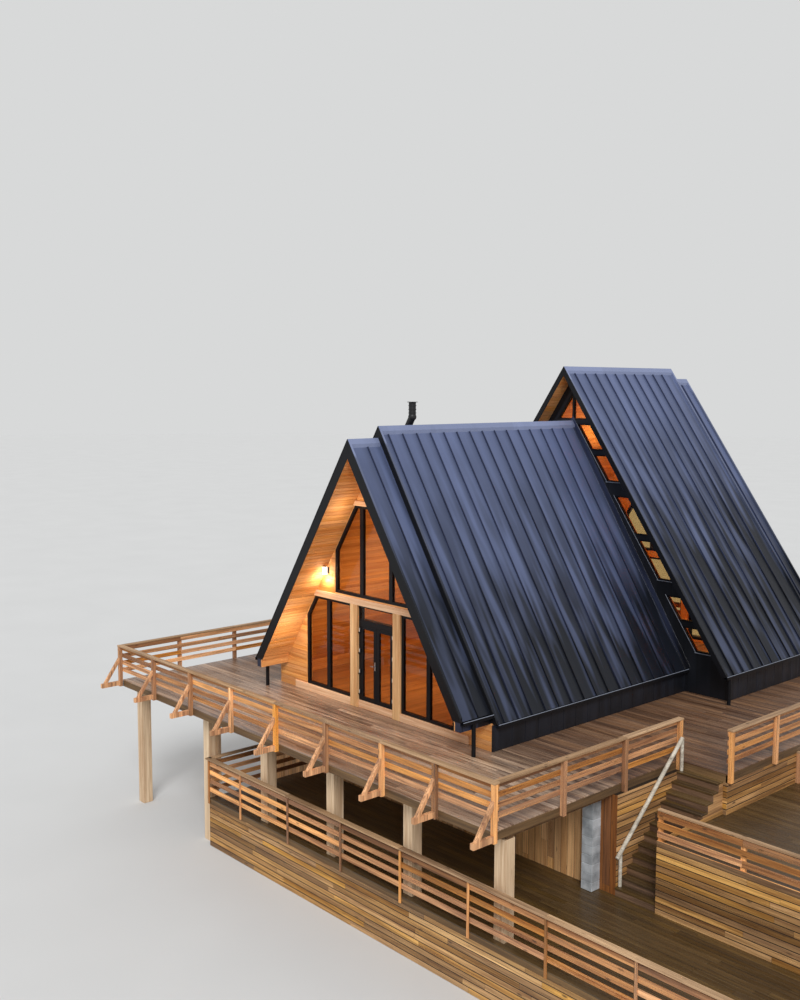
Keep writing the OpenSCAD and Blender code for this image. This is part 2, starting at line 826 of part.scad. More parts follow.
module window_frames() {
    color(black_c) at_deck() {
        along_y(frame_y, frame_y + frame_d) difference() {
            gable_lights(0, false);
            gable_lights(frame_w, true);
        }
        along_y(strip_frame_y, strip_frame_y + frame_d) difference() {
            strip_lights(0);
            strip_lights(strip_frame_w);
        }
        along_y(rear_frame_y, rear_frame_y + frame_d) difference() {
            union() {
                gable_lights(0, false);
                rear_window();
            }
            gable_lights(frame_w, true);
            rear_window(frame_w);
        }
    }
}

module window_glass() {
    inset = (frame_d - glass_t) / 2;
    color(glass_c) at_deck() {
        along_y(frame_y + inset, frame_y + inset + glass_t) {
            gable_lights(frame_w, true);
            transom();
        }
        along_y(strip_frame_y + inset, strip_frame_y + inset + glass_t)
            strip_lights(strip_frame_w);
        along_y(rear_frame_y + inset, rear_frame_y + inset + glass_t) {
            gable_lights(frame_w, true);
            rear_window(frame_w);
        }
    }
}

// Outline of the light over the door
module transom() {
    x = door_half_w - jamb_w;
    panel(-x, x, transom_low_h, beam_low_h - jamb_w);
}

leaf_y = front_face_y + leaf_setback;

module door_frame() {
    color(black_c) at_deck() {
        along_y(leaf_y, front_face_y + gable_t) difference() {
            panel(-door_half_w, door_half_w, sill_h, beam_low_h);
            x = door_half_w - jamb_w;
            translate([0, -cut]) panel(-x, x, sill_h, leaf_top_h + leaf_gap + cut);
            transom();
        }
        both_sides() at_hinges() frame_hinge();
    }
}

leaf_x0 = leaf_gap / 2;
leaf_x1 = door_half_w - jamb_w - leaf_gap;
leaf_low_h = sill_h + leaf_gap;
hinge_x = door_half_w - jamb_w - leaf_gap / 2;
hinge_y = leaf_y - knuckle_r - leaf_gap;

// Pane opening of the right leaf
module leaf_pane() {
    panel(leaf_x0 + stile_w, leaf_x1 - stile_w, leaf_low_h + bottom_rail_h,
        leaf_top_h - top_rail_h);
}

// Places children at the foot of each of the right leaf's hinges
module at_hinges() {
    span = leaf_top_h - leaf_low_h - 2 * hinge_inset;
    pitch = span / (leaf_hinges - 1);
    for (k = [0:leaf_hinges - 1])
        translate([hinge_x, hinge_y, leaf_low_h + hinge_inset + k * pitch]) children();
}

// Half of a hinge on the door frame: a lug with a pin that stands on it
module frame_hinge() {
    translate([0, 0, -lug_h]) {
        cylinder(r = knuckle_r, h = lug_h);
        box(leaf_gap / 2, jamb_w, -knuckle_r, leaf_y - hinge_y, 0, lug_h);
        cylinder(r = pin_r, h = lug_h + hinge_h);
    }
}

// Half of a hinge on the leaf: a bored knuckle that turns on the pin
module leaf_hinge() {
    difference() {
        union() {
            translate([0, 0, pin_gap]) cylinder(r = knuckle_r, h = hinge_h - pin_gap);
            box(-stile_w / 3, 0, -knuckle_r, leaf_y - hinge_y, leaf_gap, hinge_h);
        }
        translate([0, 0, -cut]) cylinder(r = pin_r + pin_fit, h = hinge_h + 2 * cut);
    }
}

// Right leaf with its hinge knuckles
module leaf() {
    along_y(leaf_y, leaf_y + leaf_t) difference() {
        panel(leaf_x0, leaf_x1, leaf_low_h, leaf_top_h);
        leaf_pane();
    }
    at_hinges() leaf_hinge();
}

module leaf_glass() {
    inset = (leaf_t - glass_t) / 2;
    along_y(leaf_y + inset, leaf_y + inset + glass_t) leaf_pane();
}

module door_left() {
    color(black_c) at_deck() mirror([1, 0, 0]) leaf();
}

module door_left_glass() {
    color(glass_c) at_deck() mirror([1, 0, 0]) leaf_glass();
}

module door_right() {
    color(black_c) at_deck() leaf();
}

module door_right_glass() {
    color(glass_c) at_deck() leaf_glass();
}

module door_left_handle() {
    x = leaf_x0 + stile_w / 2;
    r = handle_d / 2;
    color(steel_c) at_deck() translate([-x, leaf_y, handle_h]) {
        translate([-r * 2, -r / 2, -handle_plate_h / 2]) cube([r * 4, r / 2, handle_plate_h]);
        rotate([90, 0, 0]) cylinder(r = r, h = handle_reach);
        translate([-handle_l, -handle_reach - r, -r]) cube([handle_l + r, r * 2, r * 2]);
    }
}

base_right_x = deck_side_x + board_wall_t;

module base_walls() {
    t = base_t;
    color(wall_c) at_deck() translate([0, 0, ground_z])
        linear_extrude(height = deck_under - ground_z) difference() {
            polygon([[-base_left_x, base_back], [base_right_x, base_back],
                [base_right_x, deck_jog_back], [deck_jog_x, deck_jog_back],
                [deck_jog_x, deck_rear_y], [-base_left_x, deck_rear_y]]);
            polygon([[t - base_left_x, base_back + t], [base_right_x - t, base_back + t],
                [base_right_x - t, deck_jog_back + t], [deck_jog_x - t, deck_jog_back + t],
                [deck_jog_x - t, deck_rear_y - t], [t - base_left_x, deck_rear_y - t]]);
        }
}

module base_pier() {
    x = base_right_x - pier_end;
    color(concrete_c) at_deck()
        box(x - pier_w, x, base_back - pier_d, base_back, terrace_z, deck_under);
}

// Plan of the cabin
module cabin_plan() {
    translate([-main_plinth_x, front_face_y]) square([2 * main_plinth_x, tall_y - front_face_y]);
    translate([-tall_plinth_x, tall_y]) square([2 * tall_plinth_x, rear_face_y - tall_y]);
}

// Plan of the cabin's rooms inside its walls
module room_plan() {
    x0 = main_plinth_x - plinth_t;
    x1 = tall_plinth_x - plinth_t;
    y0 = front_face_y + gable_t;
    y1 = tall_y + gable_t;
    translate([-x0, y0]) square([2 * x0, y1 - y0]);
    translate([-x1, y1]) square([2 * x1, rear_face_y - gable_t - y1]);
}

module upper_deck() {
    color(board_c) at_deck() translate([0, 0, -deck_t]) linear_extrude(height = deck_t)
        difference() {
            polygon([[-deck_side_x, -deck_ahead], [deck_side_x, -deck_ahead],
                [deck_side_x, deck_jog_back], [deck_jog_x, deck_jog_back],
                [deck_jog_x, deck_rear_y], [-deck_side_x, deck_rear_y]]);
            cabin_plan();
        }
}

module cabin_floor() {
    color(pale_c) at_deck() {
        translate([0, 0, -deck_t]) linear_extrude(height = deck_t) cabin_plan();
        linear_extrude(height = floor_step) room_plan();
    }
}

post_y = deck_post_setback + deck_post_w / 2 - deck_ahead;
post_x = deck_side_x - deck_post_w / 2 - edge_gap;
side_run = deck_rear_y - deck_post_w - post_y;
side_posts = ceil(side_run / deck_post_pitch);
side_pitch = side_run / side_posts;

// Square post between two heights
module post(x, y, z0, z1) {
    w = deck_post_w / 2;
    box(x - w, x + w, y - w, y + w, z0, z1);
}

module deck_posts() {
    color(pale_c) at_deck() {
        for (k = [0:terrace_posts - 1]) {
            post(post_x - k * deck_post_pitch, post_y, terrace_z, beam_under);
            post(post_x - k * deck_post_pitch, post_y, ground_z, terrace_z - terrace_t);
        }
        post(post_x - terrace_posts * deck_post_pitch, post_y, ground_z, beam_under);
        for (k = [0:side_posts]) post(-post_x, post_y + k * side_pitch, ground_z, beam_under);
    }
}

module deck_beams() {
    w = deck_beam_w / 2;
    side_end = deck_rear_y - edge_gap;
    color(pale_c) at_deck() {
        box(-deck_side_x + edge_gap, deck_side_x - edge_gap, post_y - w, post_y + w,
            beam_under, deck_under);
        box(-post_x - w, -post_x + w, post_y, side_end, beam_under, deck_under);
        box(post_x - w, post_x + w, post_y, base_back, beam_under, deck_under);
    }
}

// How far a railing's cap stands out over posts of a depth, and as far over the boards
function cap_out(depth) = (rail_cap_w - depth - rail_board_t) / 2;
cap_over = cap_out(rail_post_w);
batten_cap_over = cap_out(batten_t);
// Place of a railing's cap where it meets the cap of the one across its end
cap_in = rail_board_t + cap_over;

// Straight railing along X, its floor edge at y = 0 and its posts outside at y < 0. posts
// lists the posts' centres and post holds their size; boards and cap say where those run.
module railing(posts, post, height, foot, boards, cap, gap, pitch) {
    top = height - rail_cap_t;
    for (x = posts) translate([x - post[0] / 2, -post[1], -foot])
        cube([post[0], post[1], top + foot]);
    for (k = [1:rail_boards])
        translate([boards[0], 0, top - gap - rail_board_h - (k - 1) * pitch])
            cube([boards[1] - boards[0], rail_board_t, rail_board_h]);
    translate([cap[0], -post[1] - cap_out(post[1]), top])
        cube([cap[1] - cap[0], rail_cap_w, rail_cap_t]);
}

// Railing of the upper deck, its first board under the cap
module deck_railing(posts, boards, cap) {
    railing(posts, [rail_post_w, rail_post_w], rail_h, deck_t, boards, cap, 0, rail_pitch);
}

// Railing of the lower terrace on slim battens
module terrace_railing(posts, boards, cap) {
    railing(posts, [batten_w, batten_t], lower_rail_h, terrace_t, boards, cap,
        lower_board_gap, lower_board_pitch);
}

// Centres of posts of width w over a length, in equal bays. ends says at which ends a railing
// has a post of its own; at the other it meets the corner post of the next one.
function posts_in(length, ends, w = rail_post_w) = let (
    bays = ceil(length / bay_w),
    p0 = ends[0] ? w / 2 : -w / 2,
    p1 = length + (ends[1] ? -w / 2 : w / 2))
    [for (k = [(ends[0] ? 0 : 1):(ends[1] ? bays : bays - 1)]) p0 + k * (p1 - p0) / bays];

front_rail_l = 2 * (deck_side_x + rail_post_w);
rear_rail_l = deck_side_x + deck_jog_x + 2 * rail_post_w;
even_bays = front_bays - 2;
even_start = rail_post_w / 2;
even_end = front_rail_l - rail_post_w / 2 - 2 * front_end_bay_w;
// Centres of the front railing's posts: equal bays, and the two at the right end
front_posts = concat(
    [for (k = [0:even_bays]) even_start + k * (even_end - even_start) / even_bays],
    [even_end + front_end_bay_w, even_end + 2 * front_end_bay_w]);

module rail_front() {
    color(rail_c) at_deck() translate([-deck_side_x - rail_post_w, -deck_ahead, 0])
        deck_railing(front_posts, [0, front_rail_l], [-cap_over, front_rail_l + cap_over]);
}

module rail_right() {
    length = deck_ahead + deck_jog_back;
    color(rail_c) at_deck() translate([deck_side_x, -deck_ahead, 0]) rotate([0, 0, 90])
        deck_railing(posts_in(length, [false, true]),
            [rail_board_t, length], [cap_in, length + cap_over]);
}

module rail_patio_side() {
    length = deck_rear_y - deck_jog_back;
    color(rail_c) at_deck() translate([deck_jog_x, deck_jog_back, 0]) rotate([0, 0, 90])
        deck_railing(posts_in(length, [true, false]),
            [0, length - rail_board_t], [-cap_over, length - cap_in]);
}

module rail_left() {
    length = deck_ahead + deck_rear_y;
    color(rail_c) at_deck() translate([-deck_side_x, deck_rear_y, 0]) rotate([0, 0, -90])
        deck_railing(posts_in(length, [false, false]),
            [rail_board_t, length - rail_board_t], [cap_in, length - cap_in]);
}

module rail_rear() {
    color(rail_c) at_deck() translate([deck_jog_x + rail_post_w, deck_rear_y, 0])
        rotate([0, 0, 180])
            deck_railing(posts_in(rear_rail_l, [true, true]),
                [0, rear_rail_l], [-cap_over, rear_rail_l + cap_over]);
}

// Outrigger and knee brace that prop one front railing post
module outrigger() {
    y0 = -deck_ahead - outrigger_reach;
    y1 = -deck_ahead - rail_post_w;
    w = outrigger_w / 2;
    box(-w, w, y0, y1, -outrigger_drop - outrigger_h, -outrigger_drop);
    translate([-w, 0, 0]) rotate([90, 0, 90]) linear_extrude(height = outrigger_w)
        polygon([[y0 + w, -outrigger_drop - w], [y0 + 3 * w, -outrigger_drop - w],
            [y1, brace_h - outrigger_h], [y1, brace_h]]);
}

module outriggers() {
    color(rail_c) at_deck() for (x = front_posts)
        translate([x - deck_side_x - rail_post_w, 0, 0]) outrigger();
}

module lower_terrace() {
    color(board_c) at_deck() translate([0, 0, terrace_z - terrace_t])
        linear_extrude(height = terrace_t)
            polygon([[-lower_left_x, -lower_ahead], [terrace_right_x, -lower_ahead],
                [terrace_right_x, patio_front_y], [patio_x, patio_front_y],
                [patio_x, deck_jog_back], [base_right_x, deck_jog_back],
                [base_right_x, base_back], [-lower_left_x, base_back]]);
}

module terrace_skirt() {
    t = board_wall_t;
    color(wall_c) at_deck() translate([0, 0, ground_z])
        linear_extrude(height = lower_level - terrace_t)
            polygon([[-lower_left_x, base_back], [-lower_left_x, -lower_ahead],
                [terrace_right_x, -lower_ahead], [terrace_right_x, patio_front_y],
                [terrace_right_x - t, patio_front_y], [terrace_right_x - t, t - lower_ahead],
                [t - lower_left_x, t - lower_ahead], [t - lower_left_x, base_back]]);
}

lower_rail_l = lower_left_x + terrace_right_x + 2 * batten_t;
lower_left_l = lower_ahead + base_back;
lower_right_l = lower_ahead + patio_front_y;
// Centres of the battens along the terrace's front, from the left corner on
lower_posts = concat([batten_w / 2],
    [for (x = [lower_first_bay_w:lower_bay_w:lower_rail_l - batten_w]) x + batten_w / 2],
    [lower_rail_l - batten_w / 2]);

module lower_rail() {
    color(rail_c) at_deck() translate([0, 0, terrace_z]) {
        translate([-lower_left_x - batten_t, -lower_ahead, 0])
            terrace_railing(lower_posts, [0, lower_rail_l],
                [-batten_cap_over, lower_rail_l + batten_cap_over]);
        translate([-lower_left_x, base_back, 0]) rotate([0, 0, -90])
            terrace_railing(posts_in(lower_left_l, [true, false], batten_w),
                [0, lower_left_l], [0, lower_left_l]);
        translate([terrace_right_x, -lower_ahead, 0]) rotate([0, 0, 90])
            terrace_railing(posts_in(lower_right_l, [false, true], batten_w),
                [0, lower_right_l], [0, lower_right_l]);
    }
}

module patio_floor() {
    color(board_c) at_deck() translate([0, 0, patio_z - terrace_t])
        linear_extrude(height = terrace_t)
            polygon([[patio_x, patio_front_y], [terrace_right_x, patio_front_y],
                [terrace_right_x, patio_back], [deck_jog_x, patio_back],
                [deck_jog_x, deck_jog_back], [patio_x, deck_jog_back]]);
}

module patio_walls() {
    t = board_wall_t;
    height = patio_z - terrace_t - ground_z;
    color(wall_c) at_deck() translate([0, 0, ground_z]) linear_extrude(height = height)
        polygon([[patio_x, patio_front_y], [terrace_right_x, patio_front_y],
            [terrace_right_x, patio_back], [deck_jog_x, patio_back],
            [deck_jog_x, patio_back - t], [terrace_right_x - t, patio_back - t],
            [terrace_right_x - t, patio_front_y + t], [deck_jog_x, patio_front_y + t],
            [deck_jog_x, deck_jog_back], [patio_x, deck_jog_back]]);
}

// Straight fence along X: closed at the bottom, slatted above, with a cap and posts
module fence(length) {
    posts = ceil(length / bay_w);
    top = fence_h - rail_cap_t;
    slats = floor((top - fence_closed_h) / rail_pitch);
    for (k = [0:posts]) translate([k * (length - rail_post_w) / posts, 0, 0])
        cube([rail_post_w, board_wall_t - rail_board_t, top]);
    translate([0, -rail_board_t, 0]) {
        cube([length, rail_board_t, fence_closed_h]);
        for (k = [1:slats])
            translate([0, 0, fence_closed_h + k * rail_pitch - fence_board_h])
                cube([length, rail_board_t, fence_board_h]);
        translate([0, 0, top]) cube([length, board_wall_t, rail_cap_t]);
    }
}

module patio_fence() {
    t = board_wall_t;
    side = patio_back - patio_front_y - t;
    color(rail_c) at_deck() translate([0, 0, patio_z]) {
        translate([patio_x, patio_front_y + rail_board_t, 0]) fence(terrace_right_x - patio_x);
        translate([terrace_right_x - rail_board_t, patio_front_y + t, 0]) rotate([0, 0, 90])
            fence(side);
        translate([terrace_right_x - t, patio_back - rail_board_t, 0]) rotate([0, 0, 180])
            fence(terrace_right_x - t - deck_jog_x);
    }
}

// Face of riser k, counted from the upper deck
function riser_y(k) = deck_jog_back - (k - 1) * going;

module stair_cheeks() {
    steps = [for (k = [risers - 1:-1:1]) each [
        [riser_y(k + 1) + riser_t, -k * rise - tread_t],
        [(k == 1 ? deck_jog_back : riser_y(k) + riser_t), -k * rise - tread_t]]];
    outline = concat([[deck_jog_back, terrace_z], [riser_y(risers) + riser_t, terrace_z]], steps);
    color(wall_c) at_deck() for (x = [base_right_x, patio_x - cheek_t])
        translate([x, 0, 0]) rotate([90, 0, 90]) linear_extrude(height = cheek_t)
            polygon(outline);
}

module stair_treads() {
    color(board_c) at_deck() for (k = [1:risers - 1])
        box(base_right_x, patio_x, riser_y(k + 1) - nosing,
            k == 1 ? deck_jog_back : riser_y(k) + riser_t, -k * rise - tread_t, -k * rise);
}

module stair_risers() {
    color(wall_c) at_deck() for (k = [2:risers])
        box(base_right_x, patio_x, riser_y(k), riser_y(k) + riser_t,
            -k * rise + slope_seat, -(k - 1) * rise - tread_t - slope_seat);
}

module stair_handrail() {
    angle = atan(rise / going);
    y0 = riser_y(risers) - nosing;
    y1 = deck_jog_back - rail_post_w;
    z0 = terrace_z + pole_h;
    x = base_right_x + rail_post_w / 2;
    run = (y1 - y0) / cos(angle);
    color(steel_c) at_deck() {
        translate([x, y0, z0]) rotate([90 - angle, 0, 180])
            cylinder(d = pole_d, h = run);
        for (k = [1, risers - 1]) {
            y = riser_y(k) - going / 2;
            translate([x, y, -k * rise])
                cylinder(d = pole_post_d, h = z0 + k * rise + (y - y0) * tan(angle));
        }
    }
}

base_walls();
base_pier();
upper_deck();
cabin_floor();
deck_posts();
deck_beams();
outriggers();
rail_front();
rail_right();
rail_patio_side();
rail_left();
rail_rear();
lower_terrace();
terrace_skirt();
lower_rail();
patio_floor();
patio_walls();
patio_fence();
stair_cheeks();
stair_treads();
stair_risers();
stair_handrail();
plinths();
front_wall_left();
front_wall_right();
front_wall_upper();
tall_wall();
rear_wall();
main_roof();
tall_roof();
hoods();
soffit_linings();
roof_seams();
roof_flashings();
rainwater();
flue();
gable_timbers();
window_frames();
window_glass();
door_frame();
door_left();
door_left_glass();
door_left_handle();
door_right();
door_right_glass();
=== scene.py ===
"""Looks of the A-frame cabin: boards, sheet metal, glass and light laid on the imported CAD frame."""
import logging
import math
import random
from collections.abc import Callable, Sequence
from dataclasses import dataclass, field
from enum import Enum, IntEnum
from functools import partial

import bpy
from mathutils import Matrix, Vector


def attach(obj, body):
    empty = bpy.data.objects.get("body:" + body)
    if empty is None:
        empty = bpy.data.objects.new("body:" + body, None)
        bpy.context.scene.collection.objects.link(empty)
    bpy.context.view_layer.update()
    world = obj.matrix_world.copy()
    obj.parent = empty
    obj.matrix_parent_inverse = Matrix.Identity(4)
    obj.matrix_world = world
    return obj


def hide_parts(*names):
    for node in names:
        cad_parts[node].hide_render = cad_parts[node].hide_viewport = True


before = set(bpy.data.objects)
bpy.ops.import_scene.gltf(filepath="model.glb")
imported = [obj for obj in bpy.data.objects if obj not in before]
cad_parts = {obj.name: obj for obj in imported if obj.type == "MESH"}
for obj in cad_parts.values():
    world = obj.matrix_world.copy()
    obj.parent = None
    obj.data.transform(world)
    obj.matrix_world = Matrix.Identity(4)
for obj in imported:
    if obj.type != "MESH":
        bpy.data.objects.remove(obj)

log = logging.getLogger("cabin")
BUTT_GAP = 0.004  # gap between the ends of two boards in a row
Point = tuple[float, float, float]
Span = tuple[float, float]
Box = tuple[float, float, float, float]
Piece = bpy.types.Object
Socket = bpy.types.NodeSocket
Outputs = bpy.types.bpy_prop_collection
Add = Callable[..., Outputs]


class Axis(IntEnum):
    """Directions of the shared frame."""
    X = 0
    Y = 1
    Z = 2


class Body(str, Enum):
    """Bodies that pieces ride on."""
    ROOT = "root"
    LEFT_LEAF = "left_leaf"
    RIGHT_LEAF = "right_leaf"


@dataclass(frozen=True)
class Site:
    """Levels and lines of the cabin in metres, as its CAD source has them."""
    deck: float = 3.7
    terrace: float = 1.3
    patio: float = 2.775
    verge: float = -1.4
    face: float = -0.48
    main_front: float = -0.4
    tall_verge: float = 6.84
    tall_front: float = 7.31
    rear: float = 12.3
    rear_face: float = 12.38
    rear_end: float = 13.21
    deck_front: float = -3.8
    deck_rear: float = 13.61
    deck_side: float = 7.3
    jog_x: float = 8.55
    jog_y: float = 2.3
    base_front: float = -0.1
    base_left: float = -5.5
    base_right: float = 7.4
    terrace_left: float = -3.15
    terrace_right: float = 14.2
    terrace_front: float = -3.55
    patio_x: float = 8.45
    patio_front: float = -0.15
    patio_rear: float = 5.4


SITE = Site()


def linear(code: str) -> Box:
    """Turns an sRGB hex colour such as "#e09a4a" into linear RGBA.

    Args:
        code: the colour.

    Returns:
        Linear red, green and blue with an alpha of 1.
    """
    parts = [int(code[i:i + 2], 16) / 255 for i in (1, 3, 5)]
    return (*[c / 12.92 if c <= 0.04045 else ((c + 0.055) / 1.055) ** 2.4 for c in parts], 1.0)


def node(tree: bpy.types.NodeTree, kind: str, *values: object, **named: object) -> Outputs:
    """Adds a node with its settings and links.

    Args:
        tree: node tree that gets the node.
        kind: node type without its ShaderNode prefix.
        values: a value or an output socket for each of the first inputs.
        named: settings, in lower case, and other inputs by their identifiers, with _ for a space.

    Returns:
        The outputs of the new node.
    """
    made = tree.nodes.new("ShaderNode" + kind)
    for key in filter(str.islower, named):
        setattr(made, key, named[key])
    sockets = {held.identifier.replace(" ", "_"): held for held in made.inputs}
    chosen = [(made.inputs[number], value) for number, value in enumerate(values)]
    chosen += [(sockets[key], value) for key, value in named.items() if not key.islower()]
    for held, value in chosen:
        if isinstance(value, Socket):
            tree.links.new(value, held)
        else:
            held.default_value = value
    return made.outputs


def place_and_parts(add: Add) -> tuple[Socket, Outputs]:
    """Gives the Object coordinates, whole and split."""
    place = add("TexCoord")["Object"]
    return place, add("SeparateXYZ", place)


def count_along(add: Add, parts: Outputs, axis: Axis, start: float,
                pitch: float) -> tuple[Socket, Socket]:
    """Counts boards or pans along an axis.

    Args:
        add: adds a node.
        parts: the separate coordinates.
        axis: axis to count along.
        start: place where the count starts.
        pitch: width of a board or pan.

    Returns:
        The count with its fraction, and the whole number.
    """
    moved = add("Math", parts[int(axis)], start, operation="SUBTRACT")[0]
    count = add("Math", moved, pitch, operation="DIVIDE")[0]
    return count, add("Math", count, operation="FLOOR")[0]


class Finish:
    """A surface finish whose material is made once and then shared."""
    name: str

    def shade(self, add: Add) -> Socket:
        """Builds the shader with add, which adds a node, and returns its output."""
        raise NotImplementedError

    def material(self) -> bpy.types.Material:
        """Makes the material on the first call.

        Returns:
            The material that all its pieces share.
        """
        made = bpy.data.materials.get(self.name)
        if made is None:
            made = bpy.data.materials.new(self.name)
            made.use_nodes = True
            made.node_tree.nodes.clear()
            add = partial(node, made.node_tree)
            add("OutputMaterial", self.shade(add))
        return made


@dataclass(frozen=True)
class Timber(Finish):
    """Sawn or planed softwood: grain along one axis, knots, and a tone for each board.

    Args:
        name: material name.
        heart: darker colour of the grain.
        sap: lighter colour of the grain.
        along: axis that the grain follows.
        knots: share of the knots that show, 0 to 1.
        spread: how much boards differ in brightness.
        stain: strength of the weather stains.
        stain_tone: colour of the stains.
        rough: lowest and highest roughness.
        course: axis, start and pitch of the boards of a solid that has them in one mesh.
        wet: strength of the film of water or varnish.
        pale_zone: axis, place where the boards are palest, place from which they are no longer paler,
            and their paler colour.
    """
    name: str
    heart: str
    sap: str
    along: Axis = Axis.X
    knots: float = 0.8
    spread: float = 0.3
    stain: float = 0.3
    stain_tone: str = "#3d2a18"
    rough: Span = (0.55, 0.8)
    course: tuple[Axis, float, float] | None = None
    wet: float = 0.0
    pale_zone: tuple[Axis, float, float, str] | None = None

    def grained(self, add: Add, place: Socket, across: float, along: float) -> Socket:
        """Scales the coordinates across and along the grain."""
        scale = [along if axis == self.along else across for axis in Axis]
        return add("VectorMath", place, scale, operation="MULTIPLY")[0]

    def board_number(self, add: Add, parts: Outputs) -> Outputs:
        """Gives random numbers for each board, from its attribute or its place.

        Args:
            add: adds a node to the material.
            parts: the separate coordinates.

        Returns:
            Outputs with a random value and a random colour.
        """
        seed = add("Attribute", attribute_name="plank")["Fac"]
        if self.course:
            whole = count_along(add, parts, *self.course)[1]
            seed = add("Math", whole, 3.7, seed, operation="MULTIPLY_ADD")[0]
        return add("TexWhiteNoise", W=seed, noise_dimensions="1D")

    def shade(self, add: Add) -> Socket:
        """Builds grain, knots, stains and the boards' own tones.

        Args:
            add: adds a node to the material.

        Returns:
            The shader.
        """
        place, parts = place_and_parts(add)
        chance = self.board_number(add, parts)
        shift = add("Math", chance["Value"], 41.0, operation="MULTIPLY")[0]
        # Each board shows its own part of the pattern.
        own = dict(W=shift, Scale=1.0)
        # Growth rings lie 3 to 6 mm apart; they are drawn about 20 mm apart so that they show.
        grain = add("TexNoise", self.grained(add, place, 34.0, 1.1), Detail=4.0, Roughness=0.62,
                    Distortion=0.4, noise_dimensions="4D", **own)[0]
        broad = self.grained(add, place, 7.0, 0.35)
        figure = add("TexNoise", broad, Detail=2.0, Distortion=0.8, noise_dimensions="4D", **own)[0]
        both = add("Math", grain, figure, operation="ADD")[0]
        blend = add("MapRange", both, 0.78, 1.22)[0]
        layers = []
        if self.pale_zone:
            axis, palest_at, damp, colour = self.pale_zone
            share = add("MapRange", parts[int(axis)], palest_at, damp, 0.75, 0.0)[0]
            layers.append((add("Math", share, blend, operation="MULTIPLY")[0], colour))
        # Branches leave a knot of 25 to 40 mm about every half metre of a board.
        near = add("TexVoronoi", self.grained(add, place, 8.0, 2.4), voronoi_dimensions="4D",
                   **own)[0]
        # Weather opens dark checks of 5 to 15 mm along the grain.
        crack = add("TexNoise", self.grained(add, place, 60.0, 0.9), Detail=2.0,
                    noise_dimensions="4D", **own)[0]
        patch = add("TexNoise", broad, Scale=0.45, Detail=3.0)[0]
        for value, start, end, low, high in ((near, 0.1, 0.22, self.knots, 0.0),
                                             (crack, 0.55, 0.7, 0.0, self.stain * 1.2),
                                             (patch, 0.45, 0.75, 0.0, self.stain)):
            layers.append((add("MapRange", value, start, end, low, high)[0], self.stain_tone))
        wood = add("Mix", blend, A_Color=linear(self.heart), B_Color=linear(self.sap),
                   data_type="RGBA")[2]
        for share, colour in layers:
            wood = add("Mix", share, A_Color=wood, B_Color=linear(colour), data_type="RGBA")[2]
        tint, spread = add("SeparateColor", chance["Color"]), self.spread
        level, hue, depth = [
            add("MapRange", value, 0.0, 1.0, low, high)[0]
            for value, low, high in ((chance["Value"], 1.0 - spread, 1.0 + spread),
                                     (tint[0], 0.5 - 0.012 * spread, 0.5 + 0.006 * spread),
                                     (tint[1], 1.0 - 0.35 * spread, 1.0 + 0.1 * spread))]
        tone = add("HueSaturation", Hue=hue, Saturation=depth, Value=level, Color=wood)[0]
        dull = add("MapRange", grain, 0.0, 1.0, *self.rough)[0]
        relief = add("Bump", Height=both, Strength=0.35, Distance=0.003)[0]
        return add("BsdfPrincipled", Base_Color=tone, Roughness=dull, Normal=relief,
                   Coat_Weight=self.wet, Coat_Roughness=0.25)[0]


